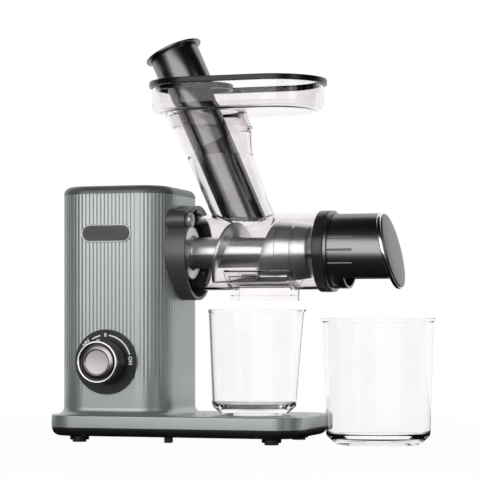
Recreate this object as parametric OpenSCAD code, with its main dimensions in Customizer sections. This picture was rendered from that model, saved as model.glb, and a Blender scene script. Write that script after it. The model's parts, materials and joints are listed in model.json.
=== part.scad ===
// Horizontal cold press juicer: a ribbed motor tower on a long deck, a clear
// juicing chamber locked into its side, a feed tray with a leaning chute and
// pusher, an end cap for the pulp, a juice jug and a pulp container.
// +X runs along the auger away from the tower, -Y is the front, +Z is up.
// The origin is the centre of the base on the surface it stands on.

/* [Overall] */
// Height of the auger axis above the floor
axis_height = 195; // [170:1:240]
// Height of the tower above the auger axis
tower_over_axis = 67.5; // [60:0.5:90]
// Width of the tower, left to right
tower_width = 118.6; // [96:0.2:145]
// Depth of the tower, front to back
tower_depth = 130; // [108:1:160]
// Length of the deck to the right of the tower
deck_run = 141.7; // [118:0.1:175]
// Depth of the base, front to back
base_depth = 146; // [130:1:178]
// Height of the top of the deck
deck_height = 28; // [24:0.5:36]

/* [Housing] */
// Wall of the moulded housing
wall = 3; // [2:0.1:4]
// Corner radius of the tower
tower_corner = 33; // [24:0.5:40]
// Corner radius of the base
base_corner = 30; // [20:0.5:40]
// Step from the base's left end to the tower
tower_inset = 9.7; // [8:0.1:20]
// Radius of the flared foot of the tower
flare_radius = 7.5; // [4:0.1:8]
// Height of the dark cap on the tower
cap_height = 8.5; // [6:0.5:14]
// Depth of the cap's lip inside the tower
cap_lip = 4; // [2:0.5:8]
// Radius of the groove round the jug's place on the deck
jug_groove_radius = 54; // [50:0.5:58]
// Height of the lower edge of the deck's skirt
skirt_bottom = 15.5; // [12:0.5:18]
// Height of the underside of the bottom cover
cover_bottom = 6.5; // [5:0.5:9]
// Rounding of the bottom cover's lower edge
cover_rounding = 8; // [4:0.5:8.5]
// Clearance between parts that sit in one another
seat_gap = 0.2; // [0.1:0.05:0.4]

/* [Feet] */
// Distance of the feet from the ends of the base
foot_inset_x = 32; // [26:0.5:40]
// Distance of the feet from the front and back of the base
foot_inset_y = 22; // [18:0.5:30]
// Radius of a rubber pad
foot_radius = 7.2; // [5:0.1:9]
// Radius of the collar moulded round a pad
foot_collar_radius = 9.9; // [9.5:0.1:12]
// Height of a pad below its collar
foot_pad_height = 2.4; // [1:0.1:4]
// Side of the square support peg
peg_side = 7; // [5:0.1:10]
// Height of the peg's lower end above the floor
peg_lift = 0.4; // [0.2:0.1:1]
// Radius of the cover screws
screw_radius = 1.5; // [1.2:0.1:2]
// Radius of a screw head
screw_head_radius = 2.8; // [2.4:0.1:3.4]

/* [Front panel] */
// Height of the dial's centre
dial_height = 82.6; // [74:0.1:110]
// Distance of dial and badge left of the tower's centre
panel_shift = 2; // [0:0.1:6]
// Radius of the dial plate
dial_radius = 33; // [28:0.5:38]
// Thickness of the dial plate
dial_plate = 3; // [2:0.1:4]
// Radius of the knob at the plate
knob_base_radius = 23; // [20:0.5:26]
// Radius of the knob's front
knob_front_radius = 21.5; // [18:0.5:24]
// Length of the knob body
knob_length = 22; // [16:0.5:28]
// Width of the bright ring on the knob's front
knob_ring_width = 2.6; // [1.5:0.1:3]
// Radius of the dished cap in the knob
knob_cap_radius = 17.2; // [12:0.1:18]
// Depth of the dish in the cap
knob_dish = 1.2; // [0.4:0.1:1.4]
// Radius of the switch shaft
switch_shaft_radius = 3; // [2:0.1:4]
// Side of the square switch body
switch_side = 26; // [20:1:30]
// Depth of the switch body
switch_depth = 15; // [10:0.5:18]
// Height of the badge's centre above the auger axis
badge_over_axis = 18.5; // [10:0.5:30]
// Length of the badge
badge_length = 54; // [40:0.5:64]
// Height of the badge
badge_height = 18.2; // [12:0.1:24]
// Width of the badge's bright rim
badge_rim_width = 1.4; // [1:0.1:2.5]
// How far the badge stands proud
badge_proud = 2; // [1:0.1:3]

/* [Coupling] */
// Outer radius of the coupling ring
ring_radius = 49; // [47:0.5:52]
// Wall of the coupling ring
ring_wall = 3.3; // [2.5:0.1:4]
// Reach of the ring beyond the tower's side
ring_reach = 16.7; // [14:0.1:20]
// Depth of the ring's cup inside the tower
cup_depth = 12.3; // [10:0.1:15]
// Number of bayonet lugs
lug_count = 3; // [2:1:4]
// Arc of one lug of the ring
ring_lug_arc = 34; // [24:1:36]
// Arc of one lug of the chamber
chamber_lug_arc = 24; // [16:1:26]
// Thickness of a lug
lug_thickness = 5; // [3:0.1:6]
// Radius of the release button
button_radius = 7.2; // [6:0.1:8]
// Reach of the button beyond the ring
button_reach = 6; // [5:0.1:8]
// Travel of the button
button_travel = 4; // [3:0.1:5]
// Wall of the boss round the button
button_boss_wall = 4.2; // [3:0.1:5]
// Distance of the button from the auger axis
button_offset = 48.2; // [47:0.1:52]
// Angle of the button above the front
button_angle = 41.5; // [35:0.5:50]
// Radius of the latch stem
stem_radius = 2.4; // [1.8:0.1:3]
// Wire radius of the return spring
spring_wire = 0.5; // [0.4:0.05:0.8]

/* [Gear train] */
// Tooth module of the gears
tooth_module = 1; // [0.8:0.05:1.2]
// Teeth on each pinion
pinion_teeth = 14; // [12:2:18]
// Teeth on each wheel
wheel_teeth = 56; // [40:4:60]
// Face width of the pinions
pinion_width = 9; // [7:0.5:10]
// Face width of the wheels
wheel_width = 7; // [5:0.5:8]
// Thickness of the gear case's plates
plate = 3; // [2:0.1:4]
// Clearance between gears and case
gear_gap = 1.5; // [1:0.1:3]
// Radius of the output shaft
output_shaft_radius = 7; // [6:0.1:8]
// Radius of the middle shaft
middle_shaft_radius = 3.5; // [3:0.1:4]
// Wall of the shaft bushes
bush_wall = 2.5; // [2:0.1:4]
// Radial running clearance of the shafts
running_gap = 0.05; // [0.02:0.01:0.1]
// Radius of the motor
motor_radius = 28; // [22:0.5:30]
// Radius of the motor shaft
motor_shaft_radius = 3; // [2:0.1:3.5]
// Radius of the rotor
rotor_radius = 16; // [12:0.5:18]
// Air gap of the motor
air_gap = 1; // [0.5:0.1:1.5]
// Room for the fan behind the motor
fan_room = 16; // [14:0.5:24]
// Number of fan blades
fan_blades = 9; // [5:1:11]

/* [Chamber] */
// Outer radius of the juicing chamber
chamber_radius = 39; // [37.5:0.1:40]
// Wall of the chamber, chute and tray
clear_wall = 2.8; // [2:0.1:3.2]
// Reach of the chamber beyond the tower's side
chamber_reach = 156.7; // [150:0.1:180]
// Height of the outlet's mouth below the auger axis
outlet_drop = 50; // [46:0.5:54]
// Length of the juice outlet
outlet_length = 65; // [40:1:66]
// Width of the juice outlet
outlet_width = 28; // [20:0.5:32]
// Distance of the outlet's centre from the tower's side
outlet_reach = 88; // [78:0.5:96]
// Radius of the strainer
strainer_radius = 33.6; // [32.6:0.1:34.5]
// Thickness of the strainer
strainer_wall = 0.8; // [0.5:0.1:1]
// Arc of the strainer
strainer_arc = 110; // [80:1:140]
// Pitch of the strainer's slots
slot_pitch = 3.2; // [2.4:0.1:5]
// Width of a strainer slot
slot_width = 1; // [0.6:0.1:1.4]

/* [Auger] */
// Radius of the auger's flight
flight_radius = 31; // [26:0.5:31.5]
// Pitch of the flight
flight_pitch = 49; // [40:1:60]
// Width of the flight's blade along the auger
flight_width = 4; // [2:0.1:6]
// Shaft radius at the tower
auger_root_radius = 16.4; // [13:0.1:18]
// Shaft radius in the middle
auger_core_radius = 15.3; // [12:0.1:17]
// Radius of the large end where it starts
auger_body_radius = 30.8; // [24:0.1:31.4]
// Radius of the large end where it stops
auger_tip_radius = 26.7; // [20:0.1:28]
// Radius of the disc behind the flight
auger_disc_radius = 27.6; // [22:0.1:30]
// Width across the flats of the hexagonal drive
drive_hex = 14; // [11:0.5:15]
// Radius of the journal in the chamber's back wall
tail_radius = 9.5; // [8.7:0.1:11]
// Radius of the journal in the end cap
tip_journal_radius = 6.2; // [5:0.1:8]

/* [Chute and tray] */
// Distance of the chute's foot from the tower's side
chute_reach = 81.7; // [78:0.1:92]
// Lean of chute and pusher towards the tower
chute_lean = 24; // [20:0.5:28]
// Outer radius of the chute
chute_radius = 30; // [28:0.5:32]
// Outer radius of the chute's mouth
mouth_radius = 36; // [34:0.5:38]
// Height of the mouth's edge above the auger axis
mouth_rise = 142; // [125:1:170]
// Height of the tray's rim above its floor
tray_depth = 32.6; // [26:0.2:45]
// Length of the tray
tray_length = 187; // [176:1:220]
// Width of the tray
tray_width = 110; // [96:1:128]
// Reach of the tray's right end from the tower's side
tray_reach = 151.9; // [148:0.1:185]
// Height of the tray's rim band
band_height = 5.7; // [4:0.1:8]
// Width of the tray's rim band
band_width = 3.3; // [2.5:0.1:5]
// Rounding between the tray's floor and wall
tray_rounding = 9; // [4:0.5:12]
// Length of the tray's neck below its floor
neck_depth = 15; // [10:0.5:20]
// Length of the oval guard
guard_length = 81; // [74:1:90]
// Width of the oval guard
guard_width = 62.8; // [56:0.2:72]
// Distance of the guard's top below the rim
guard_drop = 2.5; // [1:0.1:5]

/* [Pusher] */
// Radius of the pusher at its foot
pusher_foot_radius = 20.6; // [18:0.1:21]
// Radius of the pusher under its head
pusher_radius = 21.5; // [19:0.1:22.5]
// Radius of the pusher's head
pusher_head_radius = 25.8; // [24:0.1:27]
// Length of the head along the pusher
pusher_head_length = 37; // [30:0.5:50]
// Radius of the lip on the head
pusher_lip_radius = 30.3; // [28:0.1:33]
// Thickness of the lip
pusher_lip = 2.5; // [1.5:0.1:4]
// Wall of the pusher
pusher_wall = 2.4; // [1.6:0.1:3]
// Clearance between the pusher's teeth and the flight
pusher_gap = 1.2; // [0.8:0.1:4]
// Height of the teeth under the pusher
pusher_tooth = 2.3; // [1:0.1:3]

/* [End cap] */
// Radius of the end cap
cap_radius = 38; // [36:0.5:38.6]
// Wall of the end cap
cap_wall = 2.5; // [2:0.1:3]
// Length of the end cap along its top
cap_length = 51; // [44:0.5:66]
// Slant of the end disc
disc_slant = 13; // [8:0.5:18]
// Outer radius of the lock collar
collar_radius = 41.6; // [41:0.1:44]
// Length of the lock collar
collar_length = 11.4; // [9:0.1:14]
// Distance from the chamber's end to where the pulp outlet starts
pulp_start = 20.5; // [16:0.5:26]
// Depth of the pulp outlet's cut below the auger axis
pulp_cut_drop = 27.7; // [24:0.1:31]
// Number of grip grooves in each group
groove_count = 3; // [1:1:4]
// Angle between two grip grooves
groove_step = 19.5; // [14:0.5:24]

/* [Vessels] */
// Radius of the jug's rim
jug_radius = 48; // [40:0.5:56]
// Radius of the jug at its lower corner
jug_low_radius = 43.5; // [36:0.5:50]
// Radius of the jug's foot
jug_foot_radius = 33.5; // [26:0.5:40]
// Clearance between jug and juice outlet
jug_gap = 9; // [6:0.5:20]
// Distance of the jug's centre from the tower's side
jug_reach = 76.4; // [72:0.1:92]
// Radius of the pulp container's rim
container_radius = 57.4; // [48:0.1:66]
// Radius of the pulp container at its lower corner
container_low_radius = 52.5; // [42:0.5:60]
// Radius of the pulp container's foot
container_foot_radius = 42.7; // [30:0.1:50]
// Clearance between container and end cap
container_gap = 29; // [20:0.5:50]
// Distance of the container's centre beyond the end of the chamber
container_beyond = 50.3; // [40:0.1:60]
// Smallest clearance between container and base
container_clear = 4; // [2:0.5:20]
// Height of the chamfer at the foot of both vessels
vessel_chamfer = 9; // [5:0.5:14]
// Wall of both vessels
vessel_wall = 2.2; // [1.6:0.1:3]
// Thickness of the floor of both vessels
vessel_floor = 3.5; // [2.5:0.1:6]

/* [Hidden] */
$fn = 96;
reach = 1;            // extra length of a cutting body beyond the face it cuts
base_length = tower_inset + tower_width + deck_run;
base_end = base_length / 2;
tower_left = -base_end + tower_inset;
side_x = tower_left + tower_width;
tower_x = tower_left + tower_width / 2;
front_y = -tower_depth / 2;
tower_top = axis_height + tower_over_axis;
wall_top = tower_top - cap_height;
foot_x = base_end - foot_inset_x;
foot_y = base_depth / 2 - foot_inset_y;
boss_radius = 4;
screw_y = base_depth / 2 - wall - boss_radius + 1;
screw_x = [-foot_x + 11, side_x + 17, foot_x - 11];
cup_bottom_thickness = 3;

panel_x = tower_x - panel_shift;
knob_gap = 0.4;
knob_y = front_y - dial_plate - knob_gap;
knob_face_y = knob_y - knob_length;
knob_ring_depth = 2.4;
knob_cap_depth = 3;
dish_floor = knob_cap_radius - 1.2 - knob_dish * 8;

rim_x = side_x + ring_reach;
cup_floor_x = side_x - cup_depth;
cup_back_x = cup_floor_x - cup_bottom_thickness;
lug_setback = 0.5;
ring_inner = ring_radius - ring_wall;
lug_inner = chamber_radius + 2.2;
chamber_lug_radius = ring_inner - 1;
button_y = -button_offset * cos(button_angle);
button_z = axis_height + button_offset * sin(button_angle);
stem_shift = 4.8;
stem_y = -(button_offset + stem_shift) * cos(button_angle);
stem_z = axis_height + (button_offset + stem_shift) * sin(button_angle);
boss_radius_button = button_radius + button_boss_wall;
boss_front_x = rim_x - 1;
boss_back_x = boss_front_x - 24;
button_length = boss_front_x + button_reach - (boss_front_x - 2);
button_seat_x = boss_front_x - button_travel - 2;
button_back_x = button_seat_x + button_travel;
spring_radius = stem_radius + 1.2;
spring_bore = spring_radius + spring_wire + 0.5;
spring_turns = 6;
spring_back_x = boss_back_x + 4;
stem_flange = 2;
spring_front_x = button_back_x - stem_flange;

gear_distance = tooth_module * (pinion_teeth + wheel_teeth) / 2;
middle_z = axis_height - gear_distance;
motor_z = middle_z - gear_distance;
wheel_tip = tooth_module * (wheel_teeth / 2 + 0.9);
cover_back_x = cup_back_x - plate;
output_gear_x = cover_back_x - gear_gap - pinion_width;
pinion_low_x = output_gear_x - gear_gap - wheel_width;
case_back_x = pinion_low_x - gear_gap - plate;
case_half = wheel_tip + gear_gap + plate;
bracket_back_x = case_back_x - plate;
motor_back_x = tower_left + wall + fan_room;
motor_length = bracket_back_x - motor_back_x;
half_tooth_pitch = 180 / pinion_teeth;
case_screw_y = case_half - 3.4;
case_screw_z = [axis_height - gear_distance / 2, middle_z - gear_distance / 2];

socket_front_x = cup_floor_x + 10;
socket_back_x = cup_floor_x + 1;
socket_radius = drive_hex * 0.72 + 3;
hex_gap = 0.15;
chamber_back_x = socket_front_x + 1;
chamber_end_x = side_x + chamber_reach;
chamber_bore = chamber_radius - clear_wall;
disc_back_x = chamber_back_x + plate + 1;
disc_front_x = disc_back_x + 7.5;
auger_end_x = chamber_end_x - 17.5;
flight_start_x = disc_front_x + 4;
body_start_x = side_x + 104.5;
auger_core_end_x = body_start_x + 1;
outlet_x = side_x + outlet_reach;
outlet_bottom = axis_height - outlet_drop;

chute_x = side_x + chute_reach;
mouth_shift = mouth_radius - chute_radius;
mouth_z = axis_height + mouth_rise;
cone_start = 50;
cone_length = 78;
cone_growth = 3;
cone_half_angle = asin(cone_growth / cone_length);
flare_start = 96;
flare_end = 118;
tray_floor_z = mouth_z + 2;
tray_floor = 2.5;
rim_z = tray_floor_z + tray_depth;
tray_outer = tray_width / 2 - band_width;
tray_span = tray_length - tray_width;
tray_x = side_x + tray_reach - tray_length / 2;
tray_left_x = tray_x - tray_span / 2;
band_roof = 1.2;
guard_top = rim_z - guard_drop;
guard_bottom = guard_top - band_height;
guard_plate = 2;
guard_x = tray_left_x - (tray_outer - clear_wall) + guard_length / 2 + 0.4;

pusher_low_z = axis_height + flight_radius + pusher_gap;
pusher_foot_z = pusher_low_z + pusher_tooth;
pusher_seat_z = guard_top + 0.3;
pusher_seat_s = (pusher_seat_z - axis_height) / cos(chute_lean);
pusher_top_s = pusher_seat_s + pusher_head_length;
pusher_foot_s = (pusher_foot_z - axis_height) / cos(chute_lean) - pusher_foot_radius * tan(chute_lean);

cap_start_x = chamber_end_x + 1;
cap_bead_x = chamber_end_x + 2.7;
cap_bead_length = 2.8;
cap_bead_radius = collar_radius - 0.3;
collar_back_x = cap_bead_x - 0.3 - collar_length;
disc_top_x = cap_start_x + cap_length;
ring_slab = 4;
disc_slab = 3;
disc_radius = cap_radius + 1;
pulp_start_x = chamber_end_x + pulp_start;
nozzle_wall = 3;

jug_x = side_x + jug_reach;
jug_height = outlet_bottom - jug_gap - deck_height;
container_x = max(chamber_end_x + container_beyond, base_end + container_clear + container_radius);
container_height = axis_height - disc_radius - container_gap;

body_colour = [0.62, 0.66, 0.65];
dark_colour = [0.30, 0.31, 0.32];
black_colour = [0.05, 0.05, 0.05];
clear_colour = [0.88, 0.87, 0.90, 0.35];
metal_colour = [0.78, 0.79, 0.78];
chrome_colour = [0.85, 0.85, 0.86];
brass_colour = [0.80, 0.65, 0.30];

// ---------- placing helpers ----------

// Stands a shape drawn along +Z so that it runs along +X at height z.
module along_x(x, y = 0, z = axis_height) translate([x, y, z]) rotate([0, 90, 0]) children();

// Stands a shape drawn along +Z so that it runs towards the front.
module to_front(x, y, z) translate([x, y, z]) rotate([90, 0, 0]) children();

// Places a shape on the leaning axis of the chute, s along it from the auger axis.
module on_chute(s = 0, shift = 0)
    translate([chute_x, 0, axis_height]) rotate([0, -chute_lean, 0]) translate([shift, 0, s]) children();

// ---------- shape helpers ----------

module rounded_rect(length, depth, corner) {
    square([length - 2 * corner, depth], center = true);
    square([length, depth - 2 * corner], center = true);
    for (i = [-1, 1], j = [-1, 1])
        translate([i * (length / 2 - corner), j * (depth / 2 - corner)]) circle(corner);
}

// Half section of an edge: width out to the side, with its upper outer edge rounded.
module edge_section(width, height, rounding) {
    square([width, height - rounding]);
    square([width - rounding, height]);
    intersection() {
        translate([width - rounding, height - rounding]) circle(rounding);
        square([width, height]);
    }
}

// Sweeps a half section round a rounded rectangle; the section's x starts at the corner centres.
module round_rim(length, depth, corner) {
    for (i = [-1, 1], j = [-1, 1])
        translate([i * (length / 2 - corner), j * (depth / 2 - corner), 0]) rotate_extrude() children();
    for (side = [0, 180]) rotate([0, 0, side]) {
        translate([0, depth / 2 - corner, 0]) rotate([90, 0, 90])
            linear_extrude(length - 2 * corner, center = true) children();
        translate([length / 2 - corner, 0, 0]) rotate([90, 0, 0])
            linear_extrude(depth - 2 * corner, center = true) children();
    }
}

// A rounded block whose upper edge is rounded; mirrored it has a rounded lower edge.
module soft_block(length, depth, corner, height, rounding) {
    round_rim(length, depth, corner) edge_section(corner, height, rounding);
    translate([0, 0, height / 2])
        cube([length - 2 * corner, depth - 2 * corner, height], center = true);
}

module oblong(radius, span, height)
    linear_extrude(height) {
        square([span, 2 * radius], center = true);
        for (i = [-1, 1]) translate([i * span / 2, 0]) circle(radius);
    }

// An oblong with a rounded lower edge.
module oblong_bowl(radius, span, height, rounding)
    translate([0, 0, height]) mirror([0, 0, 1]) {
        for (i = [-1, 1]) translate([i * span / 2, 0, 0])
            rotate_extrude() edge_section(radius, height, rounding);
        rotate([90, 0, 90]) linear_extrude(span, center = true) {
            edge_section(radius, height, rounding);
            mirror([1, 0]) edge_section(radius, height, rounding);
        }
    }

module tube(outer, inner, length)
    difference() {
        cylinder(h = length, r = outer);
        translate([0, 0, -reach]) cylinder(h = length + 2 * reach, r = inner);
    }

module hexagon(flats, length) cylinder(h = length, r = flats / sqrt(3), $fn = 6);

// A sector of a tube, centred on the angle.
module arc_block(outer, inner, arc, angle, length)
    rotate([0, 0, angle - arc / 2]) rotate_extrude(angle = arc)
        translate([inner, 0]) square([outer - inner, length]);

function tooth_corner(radius, half_width, side, centre) =
    let (a = centre + side * half_width / radius * 180 / PI) [radius * cos(a), radius * sin(a)];

// Straight-flanked teeth at 20 degrees, thinned for backlash.
function gear_outline(teeth) =
    let (pitch_r = tooth_module * teeth / 2, half = tooth_module * PI / 4 * 0.86,
         tip = 0.9 * tooth_module, root = 1.15 * tooth_module, flank = tan(20))
    [for (i = [0 : teeth - 1]) let (c = i * 360 / teeth) each [
        tooth_corner(pitch_r - root, half + root * flank, -1, c),
        tooth_corner(pitch_r + tip, half - tip * flank, -1, c),
        tooth_corner(pitch_r + tip, half - tip * flank, 1, c),
        tooth_corner(pitch_r - root, half + root * flank, 1, c)]];

module gear(teeth, width, turn)
    rotate([0, 0, turn]) linear_extrude(width) polygon(gear_outline(teeth));

// Wall of a drinking vessel: straight taper, chamfered foot, thick floor.
module vessel_section(rim, low, foot, height) {
    floor_y = vessel_chamfer;
    polygon([[0, 0], [foot, 0], [low, vessel_chamfer], [rim, height], [rim - vessel_wall, height],
             [low - vessel_wall, floor_y + vessel_floor / 2],
             [low - vessel_wall - 1.5, floor_y], [0, floor_y]]);
}

// ---------- base and tower ----------

module tower_plan(shrink = 0)
    translate([tower_x, 0])
        rounded_rect(tower_width - 2 * shrink, tower_depth - 2 * shrink, tower_corner - shrink);

// Outline of the coupling ring and of the button's boss, seen along the auger.
module ring_plan(grow)
    for (p = [[0, 0, ring_radius], [button_z - axis_height, button_y, boss_radius_button]])
        translate([-p[0], p[1]]) circle(p[2] + grow);

module screw_posts(radius, bottom, top)
    for (x = screw_x, y = [-screw_y, screw_y])
        translate([x, y, bottom]) cylinder(h = top - bottom, r = radius);

module housing() {
    color(body_colour) difference() {
        union() {
            translate([0, 0, skirt_bottom])
                soft_block(base_length, base_depth, base_corner, deck_height - skirt_bottom, 1.5);
            translate([0, 0, skirt_bottom]) linear_extrude(wall_top - skirt_bottom) tower_plan();
            translate([tower_x, 0, deck_height])
                round_rim(tower_width, tower_depth, tower_corner) flare_section();
        }
        difference() {
            translate([0, 0, skirt_bottom - reach])
                linear_extrude(deck_height - wall - skirt_bottom + reach)
                    rounded_rect(base_length - 2 * wall, base_depth - 2 * wall, base_corner - wall);
            screw_posts(boss_radius, skirt_bottom, deck_height);
        }
        translate([0, 0, deck_height - wall - reach])
            linear_extrude(wall_top - deck_height + wall + 2 * reach) tower_plan(wall);
        screw_posts(screw_radius, skirt_bottom - reach, deck_height - wall - 1);
        along_x(side_x - tower_corner) linear_extrude(tower_corner + reach) ring_plan(seat_gap);
        to_front(panel_x, front_y + wall + reach, dial_height)
            cylinder(h = wall + 2 * reach, r = switch_shaft_radius + 1);
        translate([jug_x, 0, deck_height - 0.8]) tube(jug_groove_radius, jug_groove_radius - 1.6, 2);
        translate([tower_x, tower_depth / 2 - wall / 2, gland_z])
            rotate([90, 0, 0]) cylinder(h = 2 * wall, r = gland_radius, center = true);
        translate([tower_x, tower_depth / 2, grille_z])
            cube([grille_width, 2 * wall + 2 * reach, grille_height], center = true);
    }
}

module flare_section()
    difference() {
        square([tower_corner + flare_radius, flare_radius]);
        translate([tower_corner + flare_radius, flare_radius]) circle(flare_radius);
    }

module top_cap() {
    color(dark_colour) {
        translate([tower_x, 0, wall_top])
            soft_block(tower_width, tower_depth, tower_corner, cap_height, cap_height - 0.5);
        translate([0, 0, wall_top - cap_lip]) difference() {
            linear_extrude(cap_lip + 0.5) tower_plan(wall + seat_gap);
            translate([0, 0, -reach]) linear_extrude(cap_lip + reach) tower_plan(2 * wall);
        }
    }
}

module bottom_cover() {
    depth = skirt_bottom - cover_bottom;
    color(black_colour) difference() {
        union() {
            translate([0, 0, skirt_bottom]) mirror([0, 0, 1])
                soft_block(base_length - 1, base_depth - 1, base_corner - 0.5, depth, cover_rounding);
            feet_places() translate([0, 0, foot_pad_height])
                cylinder(h = cover_bottom - foot_pad_height + wall, r = foot_collar_radius);
        }
        difference() {
            translate([0, 0, cover_bottom + wall]) linear_extrude(depth)
                rounded_rect(base_length - 4 * wall, base_depth - 4 * wall, base_corner - 2 * wall);
            screw_posts(boss_radius, cover_bottom, skirt_bottom + 2 * reach);
            feet_places() cylinder(h = skirt_bottom - 2, r = foot_collar_radius);
        }
        feet_places() translate([0, 0, -reach])
            cylinder(h = foot_pad_height + 1.5 + reach, r = foot_radius);
        screw_posts(screw_radius, 0, skirt_bottom + reach);
        screw_posts(screw_head_radius, 0, cover_bottom + 4);
        translate([peg_x, -foot_y, cover_bottom + 1])
            cube([peg_side - 2, peg_side - 2, 2 + 2 * reach], center = true);
    }
}

module feet_places()
    for (x = [-foot_x, foot_x], y = [-foot_y, foot_y]) translate([x, y, 0]) children();

module rubber_feet()
    color([0.25, 0.25, 0.25]) feet_places() cylinder(h = foot_pad_height + 1.5, r = foot_radius);

peg_x = side_x + 0.7;

module support_peg() color(black_colour) {
    translate([peg_x - peg_side / 2, -foot_y - peg_side / 2, peg_lift])
        cube([peg_side, peg_side, cover_bottom - peg_lift]);
    translate([peg_x, -foot_y, cover_bottom])
        cube([peg_side - 2, peg_side - 2, 2 * 1.8], center = true);
}

module cover_screws() color(metal_colour) {
    screw_posts(screw_radius, cover_bottom + 2, deck_height - wall - 1);
    screw_posts(screw_head_radius, cover_bottom + 2, cover_bottom + 4);
}

// ---------- rear wall ----------

gland_z = deck_height + 17;
gland_radius = 7;
cord_radius = 3.5;
gland_length = 14;
grille_width = 56;
grille_height = 46;
grille_z = axis_height - 50;
grille_bars = 9;

module cord_gland()
    color(black_colour) translate([tower_x, tower_depth / 2, gland_z]) rotate([-90, 0, 0])
        difference() {
            union() {
                translate([0, 0, -wall]) cylinder(h = wall, r = gland_radius);
                cylinder(h = 2, r = gland_radius + 2);
                translate([0, 0, -gland_length + 2]) cylinder(h = gland_length - 4, r = gland_radius - 1);
            }
            translate([0, 0, -gland_length]) cylinder(h = gland_length + 4, r = cord_radius);
        }

module rear_grille()
    color(black_colour) translate([tower_x, tower_depth / 2 - wall / 2, grille_z]) difference() {
        cube([grille_width - 2 * seat_gap, wall, grille_height - 2 * seat_gap], center = true);
        for (i = [0 : grille_bars - 1])
            translate([0, 0, (i - (grille_bars - 1) / 2) * (grille_height - 4) / grille_bars])
                cube([grille_width - 8, wall + 2 * reach, 2.2], center = true);
    }

// ---------- front panel ----------

module pill(length, height)
    for (i = [-1, 1]) {
        translate([i * (length - height) / 2, 0]) circle(height / 2);
        square([length - height, height], center = true);
    }

module badge_rim()
    color(chrome_colour) to_front(panel_x, front_y, axis_height + badge_over_axis)
        linear_extrude(badge_proud) difference() {
            pill(badge_length, badge_height);
            pill(badge_length - 2 * badge_rim_width, badge_height - 2 * badge_rim_width);
        }

module badge_plate()
    color(dark_colour) to_front(panel_x, front_y, axis_height + badge_over_axis)
        linear_extrude(badge_proud - 0.5)
            pill(badge_length - 2 * badge_rim_width, badge_height - 2 * badge_rim_width);

module dial_plate_shape()
    difference() {
        cylinder(h = dial_plate, r = dial_radius);
        translate([0, 0, -reach]) cylinder(h = dial_plate + 2 * reach, r = switch_shaft_radius + 1);
    }

module dial_plate() color(black_colour) to_front(panel_x, front_y, dial_height) dial_plate_shape();

module knob_body()
    color(dark_colour) to_front(panel_x, knob_y, dial_height) difference() {
        union() {
            cylinder(h = knob_length, r1 = knob_base_radius, r2 = knob_front_radius);
            cylinder(h = knob_length + knob_ring_depth - 1, r = knob_front_radius - knob_ring_width);
        }
        translate([0, 0, -reach]) cylinder(h = knob_length - 4 + reach, r = switch_shaft_radius);
        translate([0, 0, knob_length + knob_ring_depth - 2.5]) cylinder(h = 2, r = knob_cap_radius);
    }

module knob_ring()
    color(chrome_colour) to_front(panel_x, knob_face_y, dial_height)
        tube(knob_front_radius, knob_front_radius - knob_ring_width, knob_ring_depth);

module knob_cap()
    color(chrome_colour) to_front(panel_x, knob_face_y - knob_ring_depth + 2.5, dial_height)
        difference() {
            cylinder(h = knob_cap_depth, r = knob_cap_radius);
            translate([0, 0, knob_cap_depth - knob_dish])
                cylinder(h = knob_dish + 0.01, r1 = dish_floor, r2 = dish_floor + knob_dish * 8);
        }

module switch_shaft()
    color(metal_colour) to_front(panel_x, front_y + wall + switch_depth - 4, dial_height)
        cylinder(h = wall + switch_depth + dial_plate + knob_gap + knob_length - 8,
                 r = switch_shaft_radius);

module switch_body()
    color(dark_colour) difference() {
        translate([panel_x - switch_side / 2, front_y + wall, dial_height - switch_side / 2])
            cube([switch_side, switch_depth, switch_side]);
        to_front(panel_x, front_y + wall + switch_depth - 3, dial_height)
            cylinder(h = switch_depth, r = switch_shaft_radius + running_gap);
    }

// ---------- electronics ----------

board_length = 56;
board_height = 60;
board_standoff = 6;
board_z = axis_height - 5;
board_y = tower_depth / 2 - wall - board_standoff;
board_x = tower_x;

module control_board() {
    color([0.10, 0.35, 0.18])
        translate([board_x - board_length / 2, board_y - 1.6, board_z - board_height / 2])
            cube([board_length, 1.6, board_height]);
    color(metal_colour) for (i = [-1, 1], j = [-1, 1])
        to_front(board_x + i * (board_length / 2 - 5), board_y + board_standoff,
                 board_z + j * (board_height / 2 - 5)) cylinder(h = board_standoff, r = 2.5);
    color(dark_colour) {
        translate([board_x - 20, board_y - 11.6, board_z - 4]) cube([16, 10, 20]);
        to_front(board_x + 12, board_y - 1.6, board_z + 12) cylinder(h = 14, r = 6);
        to_front(board_x + 12, board_y - 1.6, board_z - 10) cylinder(h = 9, r = 5);
    }
}

// ---------- coupling ring and latch ----------

module ring_lugs(outer, inner, arc, length)
    for (i = [0 : lug_count - 1])
        arc_block(outer, inner, arc, 170 + i * 360 / lug_count, length);

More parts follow.
